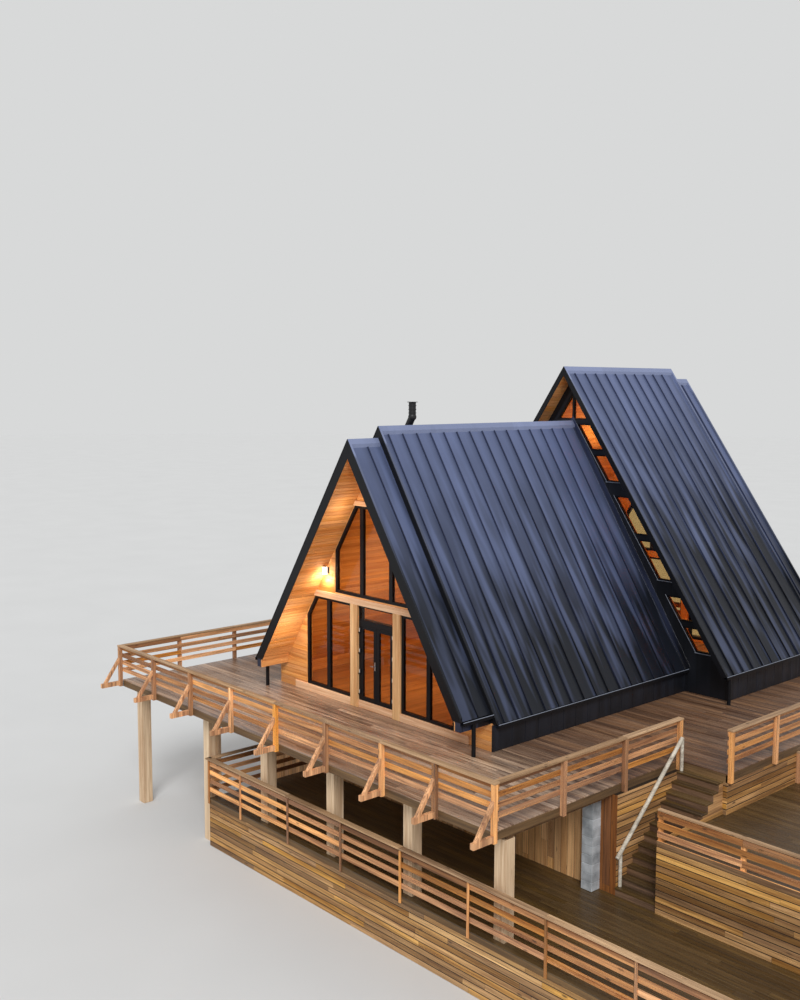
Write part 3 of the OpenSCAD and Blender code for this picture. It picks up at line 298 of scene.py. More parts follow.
@dataclass(frozen=True)
class CoatedSheet(Finish):
    """Folded steel sheet with a satin coat: each pan has its own tone, with streaks down the fall,
    and a painted sky reflection makes it paler towards the ridge.

    Args:
        name: material name.
        low: colour at the foot.
        high: colour at the ridge, where the painted reflection of the sky makes it paler.
        foot: height of the foot.
        top: height of the ridge.
        pan: axis, start and pitch of the pans.
        slope: pitch of the sheet in degrees.
        joints: strength of the dark joint lines between pans.
        bands: strength of the pale painted highlight bands down the pans.
        seam_shade: brightness of a pan beside its far seam, darkened there as painted shade.
        ridge: strength of the painted highlight that makes a ridge cap paler than the trims beside
            it.
        lined: range along Y where the faces inside the room are lined with pine instead.
    """
    name: str
    low: str
    high: str
    foot: float
    top: float
    pan: tuple[Axis, float, float]
    slope: float
    joints: float = 0.0
    bands: float = 0.45
    seam_shade: float = 1.05
    ridge: float = 0.0
    lined: Span | None = None

    def shade(self, add: Add) -> Socket:
        """Builds the painted sky reflection, the painted highlights and shade, the streaks and the
        pans' tones.

        Args:
            add: adds a node to the material.

        Returns:
            The shader.
        """
        place, parts = place_and_parts(add)
        side = add("Math", parts[0], operation="ABSOLUTE")[0]
        angle = math.radians(self.slope)
        fall = add("Math", side, math.cos(angle), operation="MULTIPLY")[0]
        fall = add("Math", parts[2], -math.sin(angle), fall, operation="MULTIPLY_ADD")[0]
        count, whole = count_along(add, parts, *self.pan)
        plank = add("Attribute", attribute_name="plank")["Fac"]
        seed = add("Math", whole, 5.3, plank, operation="MULTIPLY_ADD")[0]
        tone = add("TexWhiteNoise", W=seed, noise_dimensions="1D")["Value"]
        # Rain streaks are 20 to 80 mm wide and metres long.
        long = add("Math", fall, 0.45, operation="MULTIPLY")[0]
        wide = add("Math", parts[int(self.pan[0])], 7.0, operation="MULTIPLY")[0]
        flow = add("CombineXYZ", long, wide, seed)[0]
        streak = add("TexNoise", flow, Scale=1.0, Detail=3.0)[0]
        # Painted highlight: soft pale stripes of 0.1 to 0.2 m run down each pan, where light would
        # catch its slight belly.
        swell = add("VectorMath", flow, (0.9, 0.6, 1.0), operation="MULTIPLY")[0]
        belly = add("TexNoise", swell, Scale=1.0, Detail=1.0)[0]
        sheen = add("MapRange", belly, 0.42, 0.66, 0.0, self.bands)[0]
        # Painted reflection: the sheet grows paler and bluer towards the ridge, as if it reflected
        # the sky.
        cloud = add("TexNoise", place, Scale=0.6, Detail=2.0)[0]
        height = add("MapRange", parts[2], self.foot, self.top)[0]
        mixed = add("Math", cloud, 0.4, height, operation="MULTIPLY_ADD")[0]
        fade = add("MapRange", height, 0.35, 0.9, 1.0, 0.15)[0]
        mixed = add("Math", sheen, fade, mixed, operation="MULTIPLY_ADD")[0]
        # Painted highlight: near the ridge line the cap is made paler than the trims beside it.
        cap = add("MapRange", side, 0.24, 0.3, self.ridge, 0.0)[0]
        mixed = add("Math", mixed, cap, operation="ADD")[0]
        painted_sky_reflection = add("MapRange", mixed, 0.36, 1.2)[0]
        coated = add("Mix", painted_sky_reflection, A_Color=linear(self.low), B_Color=linear(self.high),
                     data_type="RGBA")[2]
        level = add("MapRange", tone, 0.0, 1.0, 0.88, 1.12)[0]
        within = add("Math", count, operation="FRACT")[0]
        # Painted shade: each pan darkens towards its far seam, as if the seam's fold shaded it, and
        # is a little lighter over its near half.
        seam_shade = add("MapRange", within, 0.55, 1.0, 1.05, self.seam_shade)[0]
        level = add("Math", level, seam_shade, operation="MULTIPLY")[0]
        coated = add("HueSaturation", Value=level, Color=coated)[0]
        edge = add("Math", within, 0.012 / self.pan[2], operation="LESS_THAN")[0]
        dark = add("Math", edge, self.joints, operation="MULTIPLY")[0]
        coated = add("Mix", dark, A_Color=coated, B_Color=linear("#050608"), data_type="RGBA")[2]
        if self.lined:
            coated = self.inner_lining(add, parts, coated)
        dull = add("MapRange", streak, 0.3, 0.7, 0.34, 0.56)[0]
        # Thin pans buckle by a millimetre or so between their seams.
        bend = add("TexNoise", flow, Scale=0.5, Detail=1.0)[0]
        relief = add("Bump", Height=bend, Strength=0.25, Distance=0.02)[0]
        return add("BsdfPrincipled", Base_Color=coated, Roughness=dull, Normal=relief,
                   Specular_IOR_Level=0.28, Coat_Weight=0.1, Coat_Roughness=0.2)[0]

    def inner_lining(self, add: Add, parts: Outputs, outside: Socket) -> Socket:
        """Turns the faces inside the room to level pine boards of 120 mm.

        Args:
            add: adds a node.
            parts: the separate coordinates.
            outside: colour of the sheet.

        Returns:
            The sheet's colour outside and the boards' colour inside.
        """
        row = add("Math", parts[2], 0.12, operation="DIVIDE")[0]
        whole = add("Math", row, operation="FLOOR")[0]
        tone = add("TexWhiteNoise", W=whole, noise_dimensions="1D")["Value"]
        pine = add("Mix", tone, A_Color=linear("#cd8238"), B_Color=linear("#eaa960"),
                   data_type="RGBA")[2]
        after = add("Math", parts[1], self.lined[0], operation="GREATER_THAN")[0]
        before = add("Math", parts[1], self.lined[1], operation="LESS_THAN")[0]
        inside = add("Math", after, before, operation="MULTIPLY")[0]
        return add("Mix", inside, A_Color=outside, B_Color=pine, data_type="RGBA")[2]


@dataclass(frozen=True)
class Coating(Finish):
    """Powder-coated or plastic surface: one colour with a fine orange-peel skin.

    Args:
        name: material name.
        colour: colour of the coat.
        rough: mean roughness.
        metal: metallic value, 1 for a bare metal.
        grit: size of the skin's bumps in metres.
        gloss: specular level.
    """
    name: str
    colour: str
    rough: float
    metal: float = 0.0
    grit: float = 0.02
    gloss: float = 0.5

    def shade(self, add: Add) -> Socket:
        """Builds the skin and its slight cloudiness.

        Args:
            add: adds a node to the material.

        Returns:
            The shader.
        """
        place = add("TexCoord")["Object"]
        skin = add("TexNoise", place, Scale=1.0 / self.grit, Detail=2.0)[0]
        cloud = add("TexNoise", place, Scale=1.7, Detail=3.0)[0]
        level = add("MapRange", cloud, 0.0, 1.0, 0.8, 1.2)[0]
        tone = add("HueSaturation", Value=level, Color=linear(self.colour))[0]
        dull = add("MapRange", cloud, 0.0, 1.0, self.rough - 0.1, self.rough + 0.1)[0]
        relief = add("Bump", Height=skin, Strength=0.12, Distance=0.001)[0]
        return add("BsdfPrincipled", Base_Color=tone, Roughness=dull, Normal=relief,
                   Metallic=self.metal, Specular_IOR_Level=self.gloss)[0]


@dataclass(frozen=True)
class CastConcrete(Finish):
    """Concrete blocks: pale grey with pores of 2 to 10 mm, damp stains and their own tones."""
    name: str = "concrete_block"
    pale: str = "#c0c5c9"
    damp: str = "#868b8f"

    def shade(self, add: Add) -> Socket:
        """Builds pores, stains and block tones.

        Args:
            add: adds a node to the material.

        Returns:
            The shader.
        """
        place = add("TexCoord")["Object"]
        stain = add("TexNoise", place, Scale=3.5, Detail=6.0)[0]
        pores = add("TexNoise", place, Scale=90.0, Detail=3.0)[0]
        blend = add("MapRange", stain, 0.3, 0.7)[0]
        mixed = add("Mix", blend, A_Color=linear(self.damp), B_Color=linear(self.pale),
                    data_type="RGBA")[2]
        block = add("Attribute", attribute_name="plank")["Fac"]
        level = add("MapRange", block, 0.0, 1.0, 0.85, 1.12)[0]
        tone = add("HueSaturation", Value=level, Color=mixed)[0]
        relief = add("Bump", Height=pores, Strength=0.5, Distance=0.003)[0]
        return add("BsdfPrincipled", Base_Color=tone, Roughness=0.88, Normal=relief)[0]


@dataclass(frozen=True)
class WindowGlass(Finish):
    """Double glazing: clear with a faint warm tint, mirror-like where it is seen at a slant; the warm
    tint is painted light for the warm rooms behind.
    """
    name: str = "double_glazing"
    tint: str = "#ece1ca"

    def shade(self, add: Add) -> Socket:
        """Mixes a clear pane with its reflection, which grows where it is seen at a slant.

        Args:
            add: adds a node to the material.

        Returns:
            The shader.
        """
        wave = add("TexNoise", add("TexCoord")["Object"], Scale=0.8, Detail=1.0)[0]
        relief = add("Bump", Height=wave, Strength=0.05, Distance=0.02)[0]
        # Painted light: the warm tint warms what shows through, in place of warm light inside the
        # rooms.
        clear = add("BsdfTransparent", Color=linear(self.tint))[0]
        shine = add("BsdfGlossy", Color=(1, 1, 1, 1), Roughness=0.03, Normal=relief)[0]
        slant = add("LayerWeight", Blend=0.5)["Facing"]
        steep = add("Math", slant, 5.0, operation="POWER")[0]
        share = add("MapRange", steep, 0.0, 1.0, 0.02, 0.9)[0]
        return add("MixShader", share, clear, shine)[0]


@dataclass(frozen=True)
class LampGlass(Finish):
    """Frosted lamp glass that glows warm white."""
    name: str = "frosted_lamp_glass"
    glow: str = "#fff0dc"
    power: float = 6.0

    def shade(self, add: Add) -> Socket:
        """Builds a glow that the frosting makes slightly uneven.

        Args:
            add: adds a node to the material.

        Returns:
            The shader.
        """
        mottle = add("TexNoise", add("TexCoord")["Object"], Scale=40.0)[0]
        power = add("MapRange", mottle, 0.0, 1.0, self.power * 0.8, self.power * 1.2)[0]
        return add("BsdfPrincipled", Base_Color=linear(self.glow), Roughness=0.4,
                   Emission_Color=linear(self.glow), Emission_Strength=power)[0]


@dataclass(frozen=True)
class FloorPaint(Finish):
    """Matt pale paint of the studio floor, with a hardly visible cloudiness."""
    name: str = "studio_floor_paint"

    def shade(self, add: Add) -> Socket:
        """Builds the paint.

        Args:
            add: adds a node to the material.

        Returns:
            The shader.
        """
        grain = add("TexNoise", add("TexCoord")["Object"], Scale=0.3)[0]
        tone = add("Mix", grain, A_Color=linear("#d3d4d4"), B_Color=linear("#dadbdb"),
                   data_type="RGBA")[2]
        return add("BsdfPrincipled", Base_Color=tone, Roughness=0.9, Specular_IOR_Level=0.2)[0]


# Polyester-coated steel, folded into standing-seam pans: satin, with a painted blue-grey sky
# reflection towards the ridge
MAIN_SHEET, TALL_SHEET, HOOD_SHEET = [
    CoatedSheet(f"coated_steel_{part}", "#12161f", "#5c6789", foot, top, (Axis.Y, start, 0.49),
                slope, seam_shade=0.72)
    for part, foot, top, start, slope in (("main", 4.9, 11.0, -0.145, 57.9),
                                          ("tall", 6.8, 12.6, 7.225, 55.1),
                                          ("hoods", 5.3, 11.6, -0.83, 57.0))]
# The same steel as standing seams, painted darker as painted shade, and as ridge caps, painted paler
# as a painted highlight
SEAM_SHEET_PAINTED_SHADE = CoatedSheet("coated_steel_seams", "#0c0e15", "#343c58", 4.4, 12.0,
                         (Axis.Y, -0.2, 0.49), 56.0)
CAP_SHEET_PAINTED_HIGHLIGHT = CoatedSheet("coated_steel_caps", "#12161f", "#7a84a4", 5.4, 14.5,
                        (Axis.Y, -1.4, 2.0), 56.0, bands=0.1, ridge=0.35)
# The same steel in black, as flat wall panels with upright folds
WALL_SHEET = CoatedSheet("black_steel_panels", "#121419", "#1b1e26", 3.7, 12.0,
                         (Axis.X, 0.0, 0.45), 90.0, joints=0.9, lined=(7.4, 12.25))
PANEL_SHEET = CoatedSheet("black_steel_plinth", "#14161c", "#20242e", 3.7, 5.0,
                          (Axis.Y, 0.0, 50.0), 90.0)
# Powder-coated aluminium: near black with a dense, even skin
BLACK_COAT = Coating("black_powder_coat", "#111216", 0.42, gloss=0.22)
# Galvanised and coated edge trims: smooth grey that catches the sky; on the gutters' outer lines this
# pale grey is a painted highlight
PALE_TRIM = Coating("grey_coated_trim", "#7d8492", 0.35)
# Enamelled stove pipe: dull black
PIPE_COAT = Coating("matt_black_enamel", "#101114", 0.5)
# Brushed stainless steel: bright, with a fine grain
STEEL = Coating("brushed_stainless_steel", "#c9ccd0", 0.3, 1.0, 0.004)
# Injection-moulded hinge covers: smooth white plastic
WHITE_CAP = Coating("moulded_white_plastic", "#e6e4df", 0.35)
# Planed and varnished pine, orange with age
PINE = dict(heart="#c67f3c", sap="#f0b068", knots=0.55, spread=0.2, stain=0.15,
            stain_tone="#95561f", rough=(0.35, 0.5))
PINE_X = Timber("varnished_pine_cladding", along=Axis.X, **PINE)
PINE_Y = Timber("varnished_pine_lining", along=Axis.Y, **PINE)
# Planed glued softwood, pale and almost knot-free
GLULAM = dict(knots=0.25, spread=0.08, stain=0.1, stain_tone="#8b6440", rough=(0.45, 0.65))
GLULAM_X = Timber("glued_spruce_level", "#cf9a70", "#f6d2ac", Axis.X, **GLULAM)
GLULAM_Z = Timber("glued_spruce_upright", "#c58e57", "#efc690", Axis.Z, **GLULAM)
POST_WOOD = Timber("planed_spruce_posts", "#bd9974", "#ecd2af", Axis.Z, 0.2, 0.06, 0.12, "#86684a")
# Larch beams under the deck, brown with age
BEAM_WOOD = Timber("larch_beams", "#543a22", "#83603c", spread=0.1)
# Oiled pine boards with a soft, warm shine
FLOOR_WOOD = Timber("oiled_pine_floor", "#9a6a3c", "#c98f55", Axis.Y, 0.4, 0.12, 0.1,
                    rough=(0.3, 0.45), course=(Axis.X, 0.0, 0.14))
# Grooved larch decking, brown with age and damp, paler towards the front of the gable
DECK_WOOD = Timber("damp_larch_decking", "#573925", "#946f50", Axis.X, 0.5, 0.36, 0.4, "#32200f",
                   (0.3, 0.55), wet=0.35, pale_zone=(Axis.Y, -1.0, 0.6, "#d3b79d"))
TERRACE_WOOD = Timber("damp_larch_terrace", "#3b2a10", "#644c27", Axis.X, 0.5, 0.3, 0.4,
                      "#2a1c0b", (0.35, 0.6), wet=0.3)
# Rough-sawn larch with waney edges, golden where it is new
SAWN_X = Timber("sawn_larch_boards_x", "#8c5c25", "#daa65a", Axis.X, spread=0.5, stain=0.5)
SAWN_Y = Timber("sawn_larch_boards_y", "#825521", "#cf9955", Axis.Y, spread=0.36, stain=0.45)
# SAWN_Z is golden wood in its own right, painted brighter still as painted light for the warm light
# on the base storey's front
SAWN_Z = Timber("sawn_larch_boards_z", "#b27a43", "#e6b476", Axis.Z, spread=0.3, stain=0.35)
BROWN_Z = Timber("stained_larch_boards", "#69390f", "#a46429", Axis.Z, spread=0.2, stain=0.4)
RISER_WOOD = Timber("sawn_larch_risers", "#4f3826", "#86664a", spread=0.25, stain=0.4,
                    course=(Axis.Z, 1.3, 2.4 / 13))
# Larch behind the wall boards, painted nearly black as painted shade in their gaps
SHADOW = Timber("shaded_larch_backing", "#1f150b", "#2c1f12", knots=0.2, spread=0.05)
# Joists and edge boards of the floors, painted darker than the boards above as painted shade
JOIST_X, JOIST_Y = [Timber(f"sawn_larch_joists_{axis.name.lower()}", "#4c361d", "#84653e", axis,
                           spread=0.25, stain=0.4) for axis in (Axis.X, Axis.Y)]
# Golden railing boards, and caps that weather has worn grey
RAIL_WOOD = [Timber(f"larch_railing_{axis.name.lower()}", "#9e5f28", "#feb25c", axis, spread=0.6,
                    stain=0.6, stain_tone="#472a12") for axis in Axis]
CAP_WOOD = [Timber(f"worn_larch_cap_{axis.name.lower()}", "#8d6a48", "#d3ab7e", axis, spread=0.25,
                   stain=0.45, stain_tone="#50371f") for axis in Axis]
# Peeled birch pole: off-white with grey marks
POLE_WOOD = Timber("peeled_birch_pole", "#b5ab9a", "#e4ddcd", Axis.Y, 0.7, 0.0, 0.35, "#5a5046")
CONCRETE, GLASS, LAMP = CastConcrete(), WindowGlass(), LampGlass()


def deselect() -> None:
    """Leaves edit mode and selects nothing."""
    if bpy.context.object and bpy.context.object.mode != "OBJECT":
        bpy.ops.object.mode_set(mode="OBJECT")
    bpy.ops.object.select_all(action="DESELECT")


def take(piece: Piece) -> Piece:
    """Makes a piece the only one that is selected, and the active one.

    Args:
        piece: the piece.

    Returns:
        The same piece.
    """
    deselect()
    piece.select_set(True)
    bpy.context.view_layer.objects.active = piece
    return piece


def keep_modifier(piece: Piece, kind: str, **settings: object) -> Piece:
    """Adds a modifier with its settings and applies it at once.

    Args:
        piece: piece to change.
        kind: type of the modifier.
        settings: its settings.

    Returns:
        The same piece.
    """
    made = take(piece).modifiers.new(kind.title(), kind)
    for key, value in settings.items():
        setattr(made, key, value)
    bpy.ops.object.modifier_apply(modifier=made.name)
    return piece


def settle(piece: Piece) -> Piece:
    """Puts a piece's place into its mesh, so that its object sits at the origin.

    Args:
        piece: the piece.

    Returns:
        The same piece.
    """
    take(piece)
    bpy.ops.object.transform_apply(location=True, rotation=True, scale=True)
    return piece


def hold(name: str, data: bpy.types.ID) -> Piece:
    """Hangs a mesh, light or camera in the scene.

    Args:
        name: name of the object.
        data: the mesh, light or camera.

    Returns:
        The object.
    """
    holder = bpy.data.objects.new(name, data)
    bpy.context.collection.objects.link(holder)
    return holder


def lamp_light(name: str, at: Point, power: float, size: float) -> None:
    """Hangs a warm light that is not seen itself.

    Args:
        name: name of the light.
        at: its place.
        power: its power in watts.
        size: radius of its glow in metres.
    """
    bulb = bpy.data.lights.new(name, "POINT")
    bulb.energy, bulb.color, bulb.shadow_soft_size = power, linear("#fff0da")[:3], size
    holder = hold(name, bulb)
    holder.location = at
    holder.visible_camera = holder.visible_glossy = holder.visible_transmission = False


def eased_block(name: str, low: Point, high: Point, edge: float, steps: int = 1) -> Piece:
    """Models a block with eased edges.

    Args:
        name: name of the piece.
        low: lowest corner.
        high: highest corner.
        edge: width of the eased edges.
        steps: segments of each edge.

    Returns:
        The block, at its place.
    """
    deselect()
    middle = [(a + b) / 2 for a, b in zip(low, high)]
    bpy.ops.mesh.primitive_cube_add(size=1, location=middle)
    piece = bpy.context.object
    piece.name = name
    piece.scale = [b - a for a, b in zip(low, high)]
    return keep_modifier(settle(piece), "BEVEL", width=edge, segments=steps, limit_method="NONE")


def round_bar(name: str, start: Point, end: Point, radius: float, sides: int = 20,
              edge: float = 0.004) -> Piece:
    """Models a round bar with eased ends.

    Args:
        name: name of the piece.
        start: middle of one end.
        end: middle of the other end.
        radius: radius of the bar.
        sides: number of its faces round about.
        edge: width of the eased edges.

    Returns:
        The bar, at its place.
    """
    deselect()
    way = Vector(end) - Vector(start)
    bpy.ops.mesh.primitive_cylinder_add(vertices=sides, radius=radius, depth=way.length,
                                        location=(Vector(start) + Vector(end)) / 2)
    piece = bpy.context.object
    piece.name = name
    piece.rotation_mode = "QUATERNION"
    piece.rotation_quaternion = way.to_track_quat("Z", "Y")
    take(keep_modifier(settle(piece), "BEVEL", width=edge, segments=2, limit_method="ANGLE"))
    bpy.ops.object.shade_smooth_by_angle(angle=math.radians(40))
    return piece


def saw(piece: Piece, point: Point, normal: Point) -> Piece:
    """Saws off what lies beyond a plane and closes the cut.

    Args:
        piece: piece to cut.
        point: a point of the plane.
        normal: direction of the side that falls away.

    Returns:
        The same piece.
    """
    take(piece)
    bpy.ops.object.mode_set(mode="EDIT")
    bpy.ops.mesh.select_all(action="SELECT")
    bpy.ops.mesh.bisect(plane_co=point, plane_no=normal, use_fill=True, clear_outer=True)
    bpy.ops.object.mode_set(mode="OBJECT")
    return piece


def both_sides(piece: Piece) -> Piece:
    """Adds the mirror image on the left of the ridge line."""
    return keep_modifier(piece, "MIRROR", use_axis=(True, False, False), merge_threshold=0.0001)


def joined(name: str, pieces: Sequence[Piece]) -> Piece:
    """Joins pieces into one.

    Args:
        name: name of the joined piece.
        pieces: pieces to join.

    Returns:
        The joined piece, at its place.
    """
    take(pieces[0])
    for piece in pieces:
        piece.select_set(True)
    if len(pieces) > 1:
        bpy.ops.object.join()
    pieces[0].name = name
    return settle(pieces[0])


def finished(piece: Piece, finish: Finish) -> Piece:
    """Gives a piece one finish all over.

    Args:
        piece: the piece.
        finish: its finish.

    Returns:
        The same piece.
    """
    piece.data.materials.clear()
    piece.data.materials.append(finish.material())
    return piece


def dress(piece: Piece, finish: Finish | None, slot: str, *stands_for: str,
          body: Body = Body.ROOT) -> None:
    """Finishes a new piece and puts it on its body.

    Args:
        piece: the piece.
        finish: its finish, or None for a piece that has its finishes.
        slot: name of a material slot; not used.
        stands_for: CAD nodes that it stands for.
        body: body that it rides on.
    """
    if finish:
        finished(piece, finish)
    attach(piece, body.value)
    if stands_for:
        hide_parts(*stands_for)
    log.info("%s: %d faces", piece.name, len(piece.data.polygons))


def coat(finish: Finish, *names: str) -> None:
    """Gives CAD nodes a finish.

    Args:
        finish: the finish.
        names: names of the nodes.
    """
    for name in names:
        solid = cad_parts[name]
        if not solid.material_slots:
            solid.data.materials.append(finish.material())
        for held in solid.material_slots:
            held.material = finish.material()
        log.info("%s: CAD node in %s", name, finish.name)


@dataclass
class Planks:
    """Boards, blocks or panels copied from one modelled board and joined into a single piece.

    Args:
        name: name of the piece.
        edge: width of the boards' eased edges in metres.
        seed: start of the random lengths and tones.
        spans: lowest and highest corner of each board.
    """
    name: str
    edge: float
    seed: int = 1
    spans: list[tuple[Point, Point]] = field(default_factory=list)

    def __post_init__(self) -> None:
        """Starts the piece's own row of random numbers."""
        self.chance = random.Random(self.seed)

    def add(self, low: Sequence[float], high: Sequence[float]) -> None:
        """Adds one board between two corners."""
        self.spans.append((tuple(low), tuple(high)))

    def rows(self, low: Sequence[float], high: Sequence[float], run: Axis, lay: Axis, pitch: float,
             gap: float, length: float, datum: float | None = None) -> None:
        """Fills a box with rows of boards that have staggered butt joints.

        Args:
            low: lowest corner of the box.
            high: highest corner of the box.
            run: axis along which the boards run.
            lay: axis along which the rows follow each other.
            pitch: distance from row to row.
            gap: gap between two rows.
            length: mean length of a board.
            datum: a place where a row starts, so that neighbouring boxes line up.
        """
        origin = low[lay] if datum is None else datum
        number = math.floor((low[lay] - origin) / pitch + 1e-6)
        while origin + number * pitch < high[lay] - gap:
            foot = max(low[lay], origin + number * pitch)
            top = min(origin + (number + 1) * pitch - gap, high[lay])
            number += 1
            if top - foot < 3 * self.edge:
                continue
            here = low[run]
            end = here + length * self.chance.uniform(0.35, 1.0)
            while here < high[run] - 1e-6:
                if high[run] - end < 0.25 * length:
                    end = high[run]
                a, b = list(low), list(high)
                a[run], b[run] = here, end - (0.0 if end == high[run] else BUTT_GAP)
                a[lay], b[lay] = foot, top
                self.add(a, b)
                here, end = end, end + length * self.chance.uniform(0.8, 1.15)

    def build(self, turn: Matrix | None = None) -> Piece:
        """Copies the modelled board to every place.

        Args:
            turn: place of the whole set, such as a slope.

        Returns:
            One piece whose attribute "plank" holds a random number for each board.
        """
        model = eased_block("pattern_board", (-0.5, -0.5, -0.5), (0.5, 0.5, 0.5), self.edge)
        corners = [tuple(v.co) for v in model.data.vertices]
        faces = [tuple(p.vertices) for p in model.data.polygons]
        places, polygons, tones = [], [], []
        for low, high in self.spans:
            start, tone = len(places), self.chance.random()
            places += [[low[i] + c[i] + 0.5 if c[i] < 0 else high[i] + c[i] - 0.5 for i in range(3)]
                       for c in corners]
            polygons += [tuple(start + k for k in f) for f in faces]
            tones += [tone] * len(corners)
        bpy.data.objects.remove(model, do_unlink=True)
        mesh = bpy.data.meshes.new(self.name)
        mesh.from_pydata(places, [], polygons)
        mesh.attributes.new("plank", "FLOAT", "POINT").data.foreach_set("value", tones)
        if turn is not None:
            mesh.transform(turn)
        mesh.update()
        return hold(self.name, mesh)


@dataclass(frozen=True)
class Slope:
    """One roof section, described by its right-hand slope.

    Args:
        ridge: height of the ridge.
        pitch: slope in degrees.
        eave: height of the eave.
        front: front end along Y.
        back: rear end along Y.
    """
    ridge: float
    pitch: float
    eave: float
    front: float
    back: float

    @property
    def angle(self) -> float:
        """Slope in radians."""
        return math.radians(self.pitch)

    @property
    def out(self) -> Vector:
        """Direction that stands on the slope."""
        return Vector((math.sin(self.angle), 0.0, math.cos(self.angle)))

    def x_at(self, height: float, depth: float = 0.0) -> float:
        """Half width at a height, that depth below the surface."""
        return (self.ridge - depth / math.cos(self.angle) - height) / math.tan(self.angle)

    def down(self, height: float) -> float:
        """Distance down the surface from the ridge to a height."""
        return (self.ridge - height) / math.sin(self.angle)

    def build(self, boards: Planks) -> Piece:
        """Builds boards on the slope, with X down it, Y back and Z out of it."""
        return boards.build(Matrix.Translation((0, 0, self.ridge))
                            @ Matrix.Rotation(self.angle, 4, "Y"))

    def ridged(self, boards: Planks) -> Piece:
        """Builds boards on the slope and saws them off at the ridge line."""
        return saw(self.build(boards), (0, 0, 0), (-1, 0, 0))


MAIN = Slope(11.02, 57.9, 4.34, SITE.main_front, SITE.tall_front)
TALL = Slope(12.63, 55.1, 4.48, SITE.tall_verge, SITE.rear)
FRONT_HOOD = Slope(10.72, 57.0, 4.56, SITE.verge, SITE.main_front)
REAR_HOOD = Slope(12.30, 55.1, 4.56, SITE.rear, SITE.rear_end)


@dataclass
class Studio:
    """Camera, floor and soft light.

    Args:
        eye: place of the camera.
        yaw: turn of the camera to the left of +Y in degrees.
        dip: tilt of the camera below the horizon in degrees.
        roll: roll of the camera in degrees.
        lens: focal length for a 36 mm sensor.
    """
    eye: Point = (21.020, -18.565, 12.085)
    yaw: float = 48.02
    dip: float = 5.855
    roll: float = 0.156
    lens: float = 39.50

    def camera(self) -> None:
        """Sets the camera at the photograph's viewpoint."""
        yaw, dip, roll = (math.radians(a) for a in (self.yaw, self.dip, self.roll))
        ahead = Vector((-math.sin(yaw) * math.cos(dip), math.cos(yaw) * math.cos(dip),
                        -math.sin(dip)))
        level = Vector((math.cos(yaw), math.sin(yaw), 0.0))
        above = level.cross(ahead)
        right = math.cos(roll) * level + math.sin(roll) * above
        up = -math.sin(roll) * level + math.cos(roll) * above
        data = bpy.data.cameras.new("camera")
        data.lens, data.sensor_width = self.lens, 36.0
        data.clip_start, data.clip_end = 0.5, 900.0
        holder = hold("camera", data)
        turn = Matrix((right, up, -ahead)).transposed().to_4x4()
        holder.matrix_world = Matrix.Translation(self.eye) @ turn
        bpy.context.scene.camera = holder

    def floor(self) -> None:
        """Lays a plain pale floor that fades into the backdrop."""
        deselect()
        bpy.ops.mesh.primitive_circle_add(vertices=96, radius=260, fill_type="NGON",
                                          location=(0, 5, -0.004))
        ground = bpy.context.object
        ground.name = "studio_floor"
        finished(settle(ground), FloorPaint())

    def light(self) -> None:
        """Lights the scene softly: an even sky and one broad key light from the front right."""
        world = bpy.data.worlds.new("studio_sky")
        bpy.context.scene.world = world
        world.use_nodes = True
        world.node_tree.nodes.clear()
        add = partial(node, world.node_tree)
        path = add("LightPath")
        seen = add("Math", path["Is Camera Ray"], path["Is Transmission Ray"],
                   operation="MAXIMUM")[0]
        even = add("Background", (1, 1, 1, 1), 0.62)[0]
        pale = add("Background", linear("#d8d9d9"), 1.0)[0]
        add("OutputWorld", add("MixShader", seen, even, pale)[0])
        key = bpy.data.lights.new("key_light", "SUN")
        key.energy, key.angle = 1.9, math.radians(24)
        hold("key_light", key).rotation_euler = (math.radians(50), 0.0, math.radians(48))


@dataclass
class RoofSkin:
    """Sheet roofs: finishes of the CAD nodes, and their verge boards, drips and gutter lips.

    Args:
        verge_t: thickness of a verge board.
        cap: height of its fold above the roof.
        lip: width of a gutter lip, a pale strip that is a painted highlight on the gutter's edge.
    """
    verge_t: float = 0.012
    cap: float = 0.0515
    lip: float = 0.016

    def verge(self, name: str, slope: Slope, depth: float) -> Piece:
        """Folds the trim on the front end of one roof section, mitred at the ridge.

        Args:
            name: name of the piece.
            slope: roof section.
            depth: how far the trim reaches down over the slab's end.

        Returns:
            Both sides of the trim.
        """
        at, end = slope.front, slope.down(slope.eave)
        trim = Planks(name, 0.003)
        trim.add((-0.4, at - self.verge_t, -depth), (end + 0.02, at, self.cap))
        trim.add((-0.4, at - self.verge_t - 0.006, self.cap - 0.02), (end, at, self.cap))
        return both_sides(saw(slope.ridged(trim), (0, 0, slope.eave - 0.012), (0, 0, -1)))

    def dress(self) -> None:
        """Finishes the roofs and adds their trims."""
        for finish, name in ((MAIN_SHEET, "main_roof"), (TALL_SHEET, "tall_roof"),
                             (HOOD_SHEET, "hoods"), (SEAM_SHEET_PAINTED_SHADE, "roof_seams"),
                             (CAP_SHEET_PAINTED_HIGHLIGHT, "roof_flashings"), (BLACK_COAT, "rainwater")):
            coat(finish, name)
        for name, slope, depth in (("front_hood_verge", FRONT_HOOD, 0.213),
                                   ("main_verge", MAIN, 0.1), ("tall_verge", TALL, 0.103)):
            dress(self.verge(name, slope, depth), BLACK_COAT, "black_metal")
        # Each gutter's outer line, and the roof section above it; the pale strip laid there is a
        # painted highlight
        lips = Planks("gutter_lips", 0.006)
        for x, slope in ((4.2604, MAIN), (5.7405, TALL), (4.1104, FRONT_HOOD), (5.5095, REAR_HOOD)):
            lips.add((x - self.lip, slope.front, slope.eave - 0.006),
                     (x + 0.004, slope.back, slope.eave + 0.012))
        dress(both_sides(lips.build()), PALE_TRIM, "black_metal")


